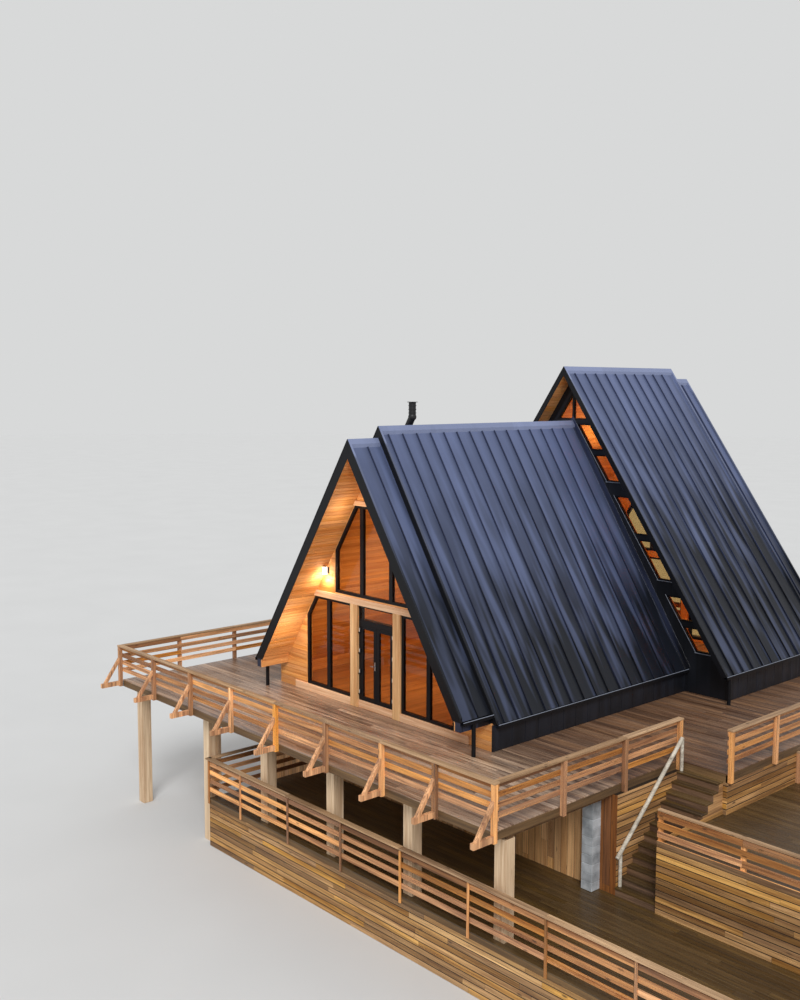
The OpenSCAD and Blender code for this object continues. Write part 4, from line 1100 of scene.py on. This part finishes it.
@dataclass
class FrontGable:
    """Front gable: pine cladding, linings of the overhangs, glued timbers and wall lamp.

    Args:
        course: height of a cladding board.
        proud: how far the cladding stands out of the CAD wall.
        window_gap: level distance from the hood's surface to the windows' sloping edges.
        apex_gap: the same for the apex pane.
    """
    course: float = 0.121
    proud: float = 0.01
    window_gap: float = 0.26
    apex_gap: float = 0.56

    def field(self, name: str, x0: float, x1: float, z0: float, z1: float,
              inner_gap: float | None = None) -> Piece:
        """Clads one field of the wall, cut along the lining and, if asked, along a pane's slope.

        Args:
            name: name of the field.
            x0: inner edge.
            x1: outer edge.
            z0: foot above the deck.
            z1: top above the deck.
            inner_gap: level distance from the hood's surface to the pane's slope.

        Returns:
            The boards of the field.
        """
        boards = Planks(name, 0.003, len(name) * 7 + int(z0 * 10))
        boards.rows((x0, SITE.face - self.proud, SITE.deck + z0),
                    (x1, SITE.face + 0.004, SITE.deck + z1), Axis.X, Axis.Z, self.course, 0.007,
                    2.6, SITE.deck)
        piece = boards.build()
        if z0 >= 0.6:
            saw(piece, (FRONT_HOOD.x_at(6.0, 0.205), 0, 6.0), FRONT_HOOD.out)
        if inner_gap is not None:
            saw(piece, (FRONT_HOOD.x_at(6.0) - inner_gap, 0, 6.0), -FRONT_HOOD.out)
        return piece

    def cladding(self) -> Piece:
        """Clads the right half round its windows and mirrors it.

        Returns:
            The cladding of both halves.
        """
        slope, inner = math.tan(FRONT_HOOD.angle), 3.8
        top = FRONT_HOOD.ridge - SITE.deck
        knee = top - (2.90 + self.window_gap) * slope
        upper_knee = top - (1.65 + self.window_gap) * slope
        apex = top - self.apex_gap * slope
        fields = [self.field("foot", 2.90, 4.145, 0.0, 0.62),
                  self.field("side", 2.90, inner, 0.62, knee),
                  self.field("under_sill", 0.0, 1.65, 2.895, 2.93),
                  self.field("flank", 1.65, inner, 2.895, upper_knee),
                  self.field("beside_apex", 0.0, inner, 5.47, apex, self.apex_gap),
                  self.field("top", 0.0, 1.0, apex, 6.66)]
        return both_sides(joined("gable_cladding", fields))

    def lining(self, name: str, slope: Slope, depth: float, reach: float, ends: Span,
               upright: float | None = None) -> None:
        """Lines the underside of an overhang with boards along Y.

        Args:
            name: name of the piece.
            slope: roof section above the lining.
            depth: depth of the CAD lining's lower face under the roof's surface.
            reach: length of the lining down the slope.
            ends: front and rear end.
            upright: half width of an upright board under the eave; without it, the lining ends
                just above the eave.
        """
        y0, y1 = ends
        boards = Planks(name, 0.003, len(name))
        boards.rows((-0.3, y0, -depth - self.proud), (reach, y1, -depth + 0.004), Axis.Y, Axis.X,
                    0.098, 0.007, 6.0)
        piece = slope.ridged(boards)
        if upright is not None:
            saw(piece, (upright, 0, 0), (1, 0, 0))
            top = slope.ridge - (depth + self.proud) / math.cos(slope.angle)
            top -= upright * math.tan(slope.angle)
            side = Planks("upright", 0.003)
            side.add((upright - self.proud, y0, SITE.deck + 0.622),
                     (upright + 0.004, y1, top - 0.004))
            piece = joined(name, [piece, side.build()])
        piece = both_sides(piece)
        if upright is None:
            saw(piece, (0, 0, slope.eave + 0.01), (0, 0, -1))
        dress(piece, PINE_Y, "pine")

    def timbers(self) -> None:
        """Models the posts, the beams and the sills with eased edges in place of the CAD node."""
        front, face, back, deck = SITE.face - 0.05, SITE.face, SITE.face + 0.18, SITE.deck
        posts, beams, sills = [Planks(name, 0.006, seed) for name, seed in (
            ("gable_posts", 3), ("gable_beams", 4), ("gable_sills", 5))]
        for x0, x1 in ((-0.84, -0.70), (-0.98, -0.84), (0.70, 0.84), (0.84, 0.98)):
            posts.add((x0, front, deck), (x1, back, deck + 2.73))
        dress(posts.build(), GLULAM_Z, "pale_timber", "gable_timbers")
        for foot, top in ((2.73, 2.895), (5.34, 5.47)):
            beams.add((-3.5, front, deck + foot), (3.5, face, deck + top))
        piece, out = beams.build(), FRONT_HOOD.out
        for side in (-1, 1):
            saw(piece, (side * FRONT_HOOD.x_at(7.0, 0.205), 0, 7.0), (side * out.x, 0, out.z))
        for x0, x1, y0, y1 in ((-3.4, -0.98, front, face), (0.98, 3.4, front, face),
                               (-0.70, 0.70, face, back)):
            sills.add((x0, y0, deck), (x1, y1, deck + 0.2))
        dress(joined("gable_beams", [piece, sills.build()]), GLULAM_X, "pale_timber",
              "gable_timbers")

    def lamp(self) -> None:
        """Wall lamp beside the upper window: a frosted tube with black ends on a black plate."""
        x, y, z = -1.95, SITE.face - self.proud, SITE.deck + 3.49
        axle = y - 0.11
        parts = [eased_block("lamp_plate", (x - 0.05, y - 0.02, z - 0.09), (x + 0.05, y, z + 0.09),
                             0.006, 2),
                 eased_block("lamp_arm", (x - 0.015, y - 0.07, z - 0.015),
                             (x + 0.015, y - 0.01, z + 0.015), 0.004)]
        parts += [round_bar("lamp_end", (x, axle, z + side * 0.1), (x, axle, z + side * 0.118),
                            0.052) for side in (-1, 1)]
        dress(joined("wall_lamp", parts), BLACK_COAT, "black_metal")
        tube = take(round_bar("wall_lamp_glass", (x, axle, z - 0.102), (x, axle, z + 0.102), 0.055))
        for face in tube.data.polygons:
            face.select = abs(face.normal.z) > 0.9
        bpy.ops.object.mode_set(mode="EDIT")
        bpy.ops.mesh.select_mode(type="FACE")
        bpy.ops.mesh.inset(thickness=0.008, depth=-0.003, use_individual=True)
        bpy.ops.object.mode_set(mode="OBJECT")
        dress(tube, LAMP, "glass")
        # The pale floor and the lining throw the lamp's light back into the whole porch.
        for name, at, power, size in (
                ("wall_lamp_light_0", (x, y - 0.14, z + 0.24), 14.0, 0.07),
                ("wall_lamp_light_1", (x, y - 0.14, z - 0.26), 14.0, 0.07),
                ("porch_glow_high", (-0.6, -1.0, 8.9), 16.0, 0.4),
                ("porch_glow_low", (-2.5, -1.15, 5.5), 38.0, 0.5)):
            lamp_light(name, at, power, size)

    def dress(self) -> None:
        """Builds the gable's pieces and finishes its CAD nodes."""
        s = SITE
        coat(PINE_X, "front_wall_left", "front_wall_right", "front_wall_upper")
        coat(PINE_Y, "soffit_linings")
        dress(self.cladding(), PINE_X, "pine")
        self.lining("front_hood_lining", FRONT_HOOD, 0.2, 7.4,
                    (s.verge + 0.006, s.face - 0.012), 3.8)
        self.lining("tall_overhang_lining", TALL, 0.09, 9.95,
                    (s.tall_verge + 0.006, s.tall_front - 0.002))
        self.lining("rear_hood_lining", REAR_HOOD, 0.2, 9.5,
                    (s.rear_face + 0.012, s.rear_end - 0.006), 5.199)
        self.timbers()
        self.lamp()


@dataclass
class SheetWalls:
    """Black sheet walls: plinth panels with folded joints, the tall wall and its trims.

    Args:
        pitch: distance from panel to panel.
        joint: width of a joint.
        inset: distance of the glazed strip's inner edge from the tall roof's surface.
    """
    pitch: float = 0.47
    joint: float = 0.012
    inset: float = 0.985

    def plinth(self) -> Piece:
        """Clads both plinths with upright panels.

        Returns:
            The panels and the front corner's trim.
        """
        # Outer face, front end, rear end and top of each plinth
        panels = Planks("plinth_panels", 0.002, 8)
        for x, y0, y1, top in ((4.1504, -0.3, SITE.tall_front, 4.335),
                               (5.5005, SITE.tall_front, SITE.rear_face, 4.475)):
            panels.rows((x - 0.004, y0, SITE.deck + 0.004), (x + 0.008, y1, top), Axis.Z, Axis.Y,
                        self.pitch, self.joint, 9.0)
        corner = Planks("plinth_corner", 0.002)
        corner.add((4.12, SITE.face - 0.012, SITE.deck), (4.158, SITE.main_front + 0.1, 4.33))
        return joined("plinth_panels", [both_sides(panels.build()), corner.build()])

    def roof_end(self) -> Piece:
        """Covers the end of the tall roof's slab behind its overhang.

        Returns:
            Both sides of the board.
        """
        board = Planks("tall_roof_end", 0.002)
        board.add((-0.3, SITE.tall_front - 0.006, -0.262),
                  (TALL.down(TALL.eave) + 0.2, SITE.tall_front - 0.0005, -0.1))
        return both_sides(saw(TALL.ridged(board), (0, 0, TALL.eave + 0.01), (0, 0, -1)))

    def upstand(self) -> Piece:
        """Turns a flashing up from the main roof against the tall wall.

        Returns:
            Both sides of the flashing.
        """
        trim, y, end = Planks("roof_upstand", 0.003), SITE.tall_front, MAIN.down(MAIN.eave)
        for reach, height in ((0.008, 0.13), (0.09, 0.012)):
            trim.add((-0.3, y - reach, 0.0), (end, y, height))
        return both_sides(MAIN.ridged(trim))

    def strip_trim(self) -> Piece:
        """Lays pale beads along the inner edge and the foot of each storey's pair of panes.

        Returns:
            The beads and sills of both sides.
        """
        y, across = SITE.tall_front, -self.inset * math.sin(TALL.angle)
        shift = self.inset * math.cos(TALL.angle)
        beads, sills = Planks("strip_beads", 0.003), Planks("strip_sills", 0.003)
        for low, high in ((4.85, 6.3225), (6.7025, 8.98), (9.36, 11.03)):  # foot and top of a pair
            beads.add((TALL.down(high) - shift, y - 0.01, across - 0.003),
                      (TALL.down(low) - shift, y + 0.004, across + 0.014))
            inner = TALL.x_at(low) - self.inset
            sills.add((inner - 0.02, y - 0.03, low - 0.014), (inner + 0.56, y + 0.004, low + 0.006))
        return both_sides(joined("strip_trim", [TALL.build(beads), sills.build()]))

    def dress(self) -> None:
        """Finishes the walls and adds the trims."""
        coat(PANEL_SHEET, "plinths")
        coat(WALL_SHEET, "tall_wall", "rear_wall")
        dress(self.plinth(), PANEL_SHEET, "cladding")
        dress(self.upstand(), SEAM_SHEET_PAINTED_SHADE, "roof_metal")
        dress(self.strip_trim(), PALE_TRIM, "black_metal")
        dress(self.roof_end(), BLACK_COAT, "black_metal")


@dataclass
class Deck:
    """A floor of boards on joists in place of a CAD slab.

    Args:
        name: name of the floor.
        node: CAD node that it stands for.
        level: top of its boards.
        depth: whole thickness of the floor.
        finish: finish of the boards.
        fields: X and Y ranges that the boards cover.
        rims: boards round the joists, as X and Y ranges.
        pitch: distance from board to board.
        thick: thickness of a board.
    """
    name: str
    node: str
    level: float
    depth: float
    finish: Finish
    fields: list[Box]
    rims: list[Box]
    pitch: float = 0.145
    thick: float = 0.028

    def dress(self) -> None:
        """Lays the boards, joists and rims."""
        boards, joists, edges = [
            Planks(f"{self.name}_{part}", edge, len(self.name) + number)
            for number, (part, edge) in enumerate((("boards", 0.004), ("joists", 0.003),
                                                   ("edges", 0.003)))]
        low, under = self.level - self.depth, self.level - self.thick
        for x0, x1, y0, y1 in self.fields:
            boards.rows((x0, y0, under), (x1, y1, self.level), Axis.X, Axis.Y, self.pitch, 0.007,
                        4.2, self.fields[0][2])
            count = max(1, round((x1 - x0) / 0.6))
            for k in range(count):
                x = x0 + (k + 0.5) * (x1 - x0) / count
                joists.add((x - 0.025, y0 + 0.04, low + 0.004), (x + 0.025, y1 - 0.04, under))
        for x0, x1, y0, y1 in self.rims:
            rim = edges if x1 - x0 > y1 - y0 else joists
            rim.add((x0, y0, low), (x1, y1, under - 0.002))
        for planks, finish in ((boards, self.finish), (joists, JOIST_Y), (edges, JOIST_X)):
            dress(planks.build(), finish, "deck_boards", self.node)


@dataclass
class Stair:
    """Stair from the upper deck to the lower terrace.

    Args:
        risers: number of risers.
        going: depth of a step.
        tread_t: thickness of a tread.
        nosing: overhang of a tread.
        riser_t: thickness of a riser.
    """
    risers: int = 13
    going: float = 0.2
    tread_t: float = 0.045
    nosing: float = 0.02
    riser_t: float = 0.028

    def dress(self) -> None:
        """Lays each tread of two boards with eased edges."""
        rise = (SITE.deck - SITE.terrace) / self.risers
        treads = Planks("stair_tread_boards", 0.006, 12)
        for k in range(1, self.risers):
            top = SITE.deck - k * rise
            front = SITE.jog_y - k * self.going - self.nosing
            back = SITE.jog_y if k == 1 else SITE.jog_y - (k - 1) * self.going + self.riser_t
            middle = (front + back) / 2
            for a, b in ((front, middle - 0.003), (middle + 0.003, back)):
                treads.add((SITE.base_right, a, top - self.tread_t), (SITE.patio_x, b, top))
        dress(treads.build(), TERRACE_WOOD, "deck_boards", "stair_treads")
        coat(SAWN_Y, "stair_cheeks")
        coat(RISER_WOOD, "stair_risers")
        coat(POLE_WOOD, "stair_handrail")


@dataclass
class BoardedWalls:
    """Boards on the base storey, the terrace's skirt and the patio's walls, and the block pier.

    Args:
        course: height of a level board.
        proud: how far boards stand out of the CAD wall.
        sunk: how far they reach into it.
        pier: ends of the block pier along X.
        blocks: courses of the block pier.
    """
    course: float = 0.132
    proud: float = 0.004
    sunk: float = 0.014
    pier: Span = (6.70, 6.99)
    blocks: int = 11

    def walls(self) -> list[tuple]:
        """Lists each piece: its name, finish, pitch of upright boards if it has them, and faces.

        Returns:
            Rows whose faces each have an axis, a place on it, the side that they look to, a range
            along the wall and a range in height.
        """
        s, x, y, pier = SITE, Axis.X, Axis.Y, self.pier[0]
        storey, skirt, fence = (0.0, s.deck - 0.2), (0.0, s.terrace - 0.15), s.patio + 0.09
        over, tall = (s.terrace, fence), (0.0, fence)
        return [
            ("base_front", SAWN_Z, 0.19, [(y, s.base_front, -1, (s.base_left, pier), storey)]),
            ("base_corner", BROWN_Z, 0.184,
             [(y, s.base_front, -1, (pier, s.base_right + 0.004), storey)]),
            ("base_side", SAWN_Y, None,
             [(x, s.base_right, 1, (s.base_front, s.jog_y), storey),
              (x, s.jog_x, 1, (s.jog_y, s.deck_rear), storey),
              (x, s.base_left, -1, (s.base_front, s.deck_rear), storey)]),
            ("base_rear", SAWN_X, None,
             [(y, s.deck_rear, 1, (s.base_left, s.jog_x), storey),
              (y, s.jog_y, -1, (s.base_right, s.jog_x), storey)]),
            ("skirt_front", SAWN_X, None,
             [(y, s.terrace_front, -1, (s.terrace_left, s.terrace_right), skirt)]),
            ("skirt_end", SAWN_Y, None,
             [(x, s.terrace_left, -1, (s.terrace_front, s.base_front), skirt),
              (x, s.terrace_right, 1, (s.terrace_front, s.patio_front), skirt)]),
            ("patio_front", SAWN_X, None,
             [(y, s.patio_front, -1, (s.patio_x, s.terrace_right), over),
              (y, s.patio_rear, 1, (s.jog_x, s.terrace_right), tall)]),
            ("patio_end", SAWN_Y, None,
             [(x, s.terrace_right, 1, (s.patio_front, s.patio_rear), tall),
              (x, s.patio_x, -1, (s.patio_front, s.jog_y), over)])]

    def block_pier(self) -> None:
        """Pier of hollow-block courses with raked joints, in place of the CAD node."""
        blocks = Planks("pier_blocks", 0.006, 29)
        (x0, x1), y0, y1, foot = self.pier, SITE.base_front - 0.28, SITE.base_front, SITE.terrace
        course = (SITE.deck - 0.2 - foot) / self.blocks
        for k in range(self.blocks):
            low = foot + k * course
            blocks.add((x0, y0, low + 0.005), (x1, y1, low + course - 0.005))
        blocks.add((x0 + 0.008, y0 + 0.008, foot), (x1 - 0.008, y1, SITE.deck - 0.2))
        dress(blocks.build(), CONCRETE, "concrete", "base_pier")

    def dress(self) -> None:
        """Covers all the walls with boards and builds the pier."""
        # Painted shade: the walls behind the boards are nearly black, so that the gaps between boards
        # read dark
        coat(SHADOW, "base_walls", "terrace_skirt", "patio_walls")
        for seed, (name, finish, pitch, faces) in enumerate(self.walls(), 21):
            boards = Planks(f"{name}_boards", 0.004, seed)
            for axis, at, sign, along, heights in faces:
                other = Axis(1 - axis)
                low, high = [0.0] * 3, [0.0] * 3
                low[axis], high[axis] = sorted((at + sign * self.proud, at - sign * self.sunk))
                (low[other], high[other]), (low[2], high[2]) = along, heights
                run, lay, gap = (Axis.Z, other, 0.008) if pitch else (other, Axis.Z, 0.02)
                boards.rows(low, high, run, lay, pitch or self.course, gap, 3.4)
            dress(boards.build(), finish, "wall_boards")
        self.block_pier()


@dataclass
class Rooms:
    """Inside of the cabin as it shows through the panes: pine lining and an oiled floor.

    Args:
        lining_t: thickness of the lining.
        lamp_power: power of a room lamp in watts.
        floor: foot of the skirting boards.
        plinths: inner faces of the plinths of the main room and the tall room.
        skirtings: tops of the skirting boards there.
    """
    lining_t: float = 0.012
    lamp_power: float = 78.0
    floor: float = 3.853
    plinths: Span = (3.99, 5.34)
    skirtings: Span = (4.17, 4.52)

    def slope_lining(self, name: str, slope: Slope, reach: float, y0: float, y1: float) -> None:
        """Lines one roof from the ridge out to the plinth's inner face.

        Args:
            name: name of the piece.
            slope: roof section.
            reach: half width of the room.
            y0: front end.
            y1: rear end.
        """
        boards = Planks(name, 0.002, len(name))
        boards.rows((-0.2, y0, -0.25 - self.lining_t), (slope.down(4.0), y1, -0.2505),
                    Axis.Y, Axis.X, 0.12, 0.003, 3.6)
        dress(both_sides(saw(slope.ridged(boards), (reach, 0, 0), (1, 0, 0))), PINE_Y, "pine")

    def dress(self) -> None:
        """Lines both rooms, with skirting boards inside the plinths, and hangs their lamps."""
        coat(FLOOR_WOOD, "cabin_floor")
        lengths = ((-0.29, SITE.tall_front), (SITE.tall_front + 0.19, SITE.rear - 0.12))
        skirting = Planks("room_skirting", 0.003, 31)
        for reach, top, (y0, y1) in zip(self.plinths, self.skirtings, lengths):
            skirting.rows((reach - self.lining_t, y0, self.floor), (reach + 0.002, y1, top), Axis.Y,
                          Axis.Z, 0.165, 0.003, 4.0)
        dress(both_sides(skirting.build()), PINE_Y, "pine")
        for name, slope, reach, ends in zip(("main", "tall"), (MAIN, TALL), self.plinths, lengths):
            self.slope_lining(f"{name}_room_lining", slope, reach, *ends)
        for number, at in enumerate(((-0.6, 1.6, 6.1), (0.0, 4.5, 8.0), (3.4, 9.2, 5.6),
                                     (1.8, 9.2, 8.2), (0.0, 9.6, 10.4))):
            power = self.lamp_power * (1.0 if number else 1.5)
            lamp_light(f"room_lamp_{number}", at, power, 0.15)


@dataclass
class Openings:
    """Doors, frames, glass and handle.

    Args:
        hinge_x: distance of the hinges from the middle.
        hinge_y: place of the hinges along Y.
        foot: foot of the lowest hinge.
        step: distance from hinge to hinge.
    """
    hinge_x: float = 0.647
    hinge_y: float = -0.472
    foot: float = 4.076
    step: float = 0.548

    def hinge_covers(self, side: int, body: Body, name: str) -> None:
        """Puts white sleeves on the four hinges of one leaf.

        Args:
            side: -1 for the left leaf, 1 for the right.
            body: body of the leaf.
            name: name of the piece.
        """
        x, y = side * self.hinge_x, self.hinge_y
        feet = [self.foot + k * self.step for k in range(4)]
        sleeves = [round_bar("sleeve", (x, y, foot + 0.006), (x, y, foot + 0.106), 0.0145, 16,
                             0.003) for foot in feet]
        dress(joined(name, sleeves), WHITE_CAP, "handle_metal", body=body)

    def dress(self) -> None:
        """Finishes the openings' CAD nodes and adds the hinge covers."""
        coat(BLACK_COAT, "window_frames", "door_frame", "door_left", "door_right")
        coat(GLASS, "window_glass", "door_left_glass", "door_right_glass")
        coat(STEEL, "door_left_handle")
        self.hinge_covers(-1, Body.LEFT_LEAF, "left_hinge_covers")
        self.hinge_covers(1, Body.RIGHT_LEAF, "right_hinge_covers")


@dataclass(frozen=True)
class RailKind:
    """Make of a railing: its posts, its level boards and its cap.

    Args:
        post: width and depth of a post.
        height: height above the floor.
        board: height of a board.
        count: number of boards.
        gap: gap between the cap and the first board.
        pitch: distance from board to board.
        foot: how far the posts reach below the floor.
        cap: width of the cap.
        closed: height of the closed boards on the floor.
        board_t: thickness of a board.
        cap_t: thickness of the cap.
    """
    post: Span
    height: float
    board: float = 0.115
    count: int = 4
    gap: float = 0.0
    pitch: float = 0.205
    foot: float = 0.2
    cap: float = 0.15
    closed: float = 0.0
    board_t: float = 0.032
    cap_t: float = 0.04


DECK_RAIL = RailKind((0.1, 0.1), 1.0)
TERRACE_RAIL = RailKind((0.06, 0.03), 1.08, gap=0.06, pitch=0.23, foot=0.15)
PATIO_FENCE = RailKind((0.1, 0.068), 0.76, 0.13, 3, 0.015, foot=0.0, cap=0.1, closed=0.09)


def even(start: float, end: float, bays: int) -> list[float]:
    """Places of the posts from start to end in equal bays."""
    return [start + k * (end - start) / bays for k in range(bays + 1)]


@dataclass
class Railing:
    """One straight railing: level boards on posts, under a flat cap.

    Args:
        kind: make of the railing.
        run: axis that it runs along.
        line: face between posts and boards, on the other axis.
        out: side of the line on which the posts stand, 1 or -1.
        floor: height of its floor.
        posts: centres of the posts.
        span: ends of the boards.
        ends: ends of the cap, or None where it ends with the boards.
    """
    kind: RailKind
    run: Axis
    line: float
    out: int
    floor: float
    posts: list[float]
    span: Span
    ends: Span | None = None

    def add(self, boards: Planks, a: Span, b: Span, z: Span) -> None:
        """Adds a board.

        Args:
            boards: set that gets the board.
            a: its range along the railing.
            b: its range out of the railing's line.
            z: its range in height.
        """
        low, high = [0.0, 0.0, z[0]], [0.0, 0.0, z[1]]
        low[self.run], high[self.run] = a
        low[1 - self.run], high[1 - self.run] = sorted(self.line + self.out * v for v in b)
        boards.add(low, high)

    def lengths(self, ends: Span, first: int) -> list[Span]:
        """Splits a run into boards that meet over every second post.

        Args:
            ends: ends of the run.
            first: number of the first post over which boards meet.

        Returns:
            Ends of each board.
        """
        inner = sorted(p for p in self.posts if ends[0] + 0.4 < p < ends[1] - 0.4)
        cuts = [ends[0], *inner[first::2], ends[1]]
        return [(a, b - (0.0 if b == ends[1] else BUTT_GAP)) for a, b in zip(cuts, cuts[1:])]

    def build(self, name: str) -> Piece:
        """Builds posts, boards and cap as one piece.

        Args:
            name: name of the piece.

        Returns:
            The railing, with its finishes.
        """
        kind, floor, seed = self.kind, self.floor, round(abs(self.line) * 100) + self.run
        board_t, depth, half = kind.board_t, kind.post[1], kind.post[0] / 2
        top = floor + kind.height - kind.cap_t
        posts, boards, caps = [
            Planks(f"{name}_{part}", edge, seed + number)
            for number, (part, edge) in enumerate((("posts", 0.005), ("boards", 0.004),
                                                   ("cap", 0.005)))]
        for at in self.posts:
            self.add(posts, (at - half, at + half), (0.0, depth), (floor - kind.foot, top))
        for k in range(kind.count):
            high = top - kind.gap - k * kind.pitch
            for a in self.lengths(self.span, k % 2):
                self.add(boards, a, (-board_t, 0.0), (high - kind.board, high))
        if kind.closed:
            self.add(boards, self.span, (-board_t, 0.0), (floor, floor + kind.closed))
        over = (kind.cap - depth - board_t) / 2
        for a in self.lengths(self.ends or self.span, 1):
            self.add(caps, a, (-board_t - over, depth + over), (top, top + kind.cap_t))
        return joined(name, [finished(planks.build(), finish) for planks, finish in (
            (boards, RAIL_WOOD[self.run]), (posts, RAIL_WOOD[Axis.Z]), (caps, CAP_WOOD[self.run]))])


@dataclass
class Guards:
    """Railings of all the floors, with the timbers under the deck and the flue.

    Args:
        over: overhang of the deck railings' caps.
        fence_depth: depth of the patio's front fence, behind which its side fence starts.
    """
    over: float = 0.009
    fence_depth: float = 0.1

    def parts(self) -> dict[str, list[Railing]]:
        """Describes each CAD node of railings by its straight parts.

        Returns:
            The parts by the name of their node.
        """
        s, x, y, o, t = SITE, Axis.X, Axis.Y, self.over, DECK_RAIL.board_t
        front, rear, right = s.deck_front + t, s.deck_rear - t, s.terrace_right
        deck = partial(Railing, DECK_RAIL, floor=s.deck)
        low = partial(Railing, TERRACE_RAIL, floor=s.terrace)
        fence = partial(Railing, PATIO_FENCE, floor=s.patio)
        return {
            "rail_front": [deck(x, s.deck_front, -1, posts=[*even(-7.35, 4.11, 6), 5.73, 7.35],
                                span=(-7.4, 7.4), ends=(-7.409, 7.409))],
            "rail_right": [deck(y, s.deck_side, 1, posts=even(-3.85, 2.25, 3)[1:],
                                span=(front, s.jog_y), ends=(front + o, s.jog_y + o))],
            "rail_patio_side": [deck(y, s.jog_x, 1, posts=even(2.35, 13.66, 6)[:-1],
                                     span=(s.jog_y, rear), ends=(s.jog_y - o, rear - o))],
            "rail_left": [deck(y, -s.deck_side, -1, posts=even(-3.85, 13.66, 9)[1:-1],
                               span=(front, rear), ends=(front + o, rear - o))],
            "rail_rear": [deck(x, s.deck_rear, 1, posts=even(-7.35, 8.6, 8), span=(-7.4, 8.65),
                               ends=(-7.409, 8.659))],
            "lower_rail": [
                low(x, s.terrace_front, -1, span=(-3.18, 14.23), ends=(-3.224, 14.274),
                    posts=[s.terrace_left, *[-1.68 + 2.02 * k for k in range(8)], right]),
                low(y, s.terrace_left, -1, posts=[-1.855, -0.13], span=(-3.55, -0.1)),
                low(y, right, 1, posts=[-1.88, -0.18], span=(-3.55, -0.15))],
            "patio_fence": [
                fence(x, s.patio_front + t, 1, posts=even(8.5, 14.15, 3), span=(s.patio_x, right)),
                fence(y, right - t, -1, posts=even(0.0, 5.35, 3),
                      span=(s.patio_front + self.fence_depth, s.patio_rear)),
                fence(x, s.patio_rear - t, -1, posts=even(8.6, 14.05, 3), span=(s.jog_x, 14.1))]}

    def dress(self) -> None:
        """Builds the railings and finishes braces, posts, beams and the flue."""
        for name, parts in self.parts().items():
            pieces = [part.build(f"{name}_{number}") for number, part in enumerate(parts)]
            dress(joined(f"{name}_timber", pieces), None, "rail_timber", name)
        for finish, name in ((RAIL_WOOD[Axis.Z], "outriggers"), (POST_WOOD, "deck_posts"),
                             (BEAM_WOOD, "deck_beams"), (PIPE_COAT, "flue")):
            coat(finish, name)


def decks() -> list[Deck]:
    """Describes the three board floors.

    Returns:
        The upper deck, the lower terrace and the patio.
    """
    s, rim, plinth, tall = SITE, 0.04, 4.15, 5.5
    left, right, front, rear = -s.deck_side, s.deck_side, s.deck_front, s.deck_rear
    t_left, t_right, t_front = s.terrace_left, s.terrace_right, s.terrace_front
    upper = Deck("upper_deck", "upper_deck", s.deck, 0.2, DECK_WOOD, [
        (left, right, front, s.face), (left, -plinth, s.face, s.tall_front),
        (plinth, right, s.face, s.jog_y), (plinth, s.jog_x, s.jog_y, s.tall_front),
        (left, -tall, s.tall_front, s.rear_face), (tall, s.jog_x, s.tall_front, s.rear_face),
        (left, s.jog_x, s.rear_face, rear)], [
        (left, right, front, front + rim), (left, left + rim, front, rear),
        (right - rim, right, front, s.jog_y + rim), (right, s.jog_x, s.jog_y, s.jog_y + rim),
        (s.jog_x - rim, s.jog_x, s.jog_y, rear), (left, s.jog_x, rear - rim, rear)])
    low = Deck("terrace", "lower_terrace", s.terrace, 0.15, TERRACE_WOOD, [
        (t_left, t_right, t_front, s.patio_front), (t_left, s.patio_x, s.patio_front, s.base_front),
        (s.base_right, s.patio_x, s.base_front, s.jog_y)], [
        (t_left, t_right, t_front, t_front + rim), (t_left, t_left + rim, t_front, s.base_front),
        (t_right - rim, t_right, t_front, s.patio_front)])
    patio = Deck("patio", "patio_floor", s.patio, 0.15, TERRACE_WOOD, [
        (s.jog_x, t_right, s.patio_front, s.patio_rear),
        (s.patio_x, s.jog_x, s.patio_front, s.jog_y)], [
        (s.patio_x, t_right, s.patio_front, s.patio_front + rim),
        (t_right - rim, t_right, s.patio_front, s.patio_rear),
        (s.jog_x, t_right, s.patio_rear - rim, s.patio_rear)])
    return [upper, low, patio]


def main() -> None:
    """Builds the scene piece by piece."""
    logging.basicConfig(level=logging.INFO, format="%(name)s: %(message)s")
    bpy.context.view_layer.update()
    bpy.context.scene.view_settings.view_transform = "Standard"
    studio = Studio()
    studio.camera()
    studio.light()
    studio.floor()
    for assembly in (RoofSkin(), FrontGable(), SheetWalls(), *decks(), Stair(), BoardedWalls(),
                     Rooms(), Openings(), Guards()):
        assembly.dress()
    deselect()


if __name__ == "__main__":
    main()
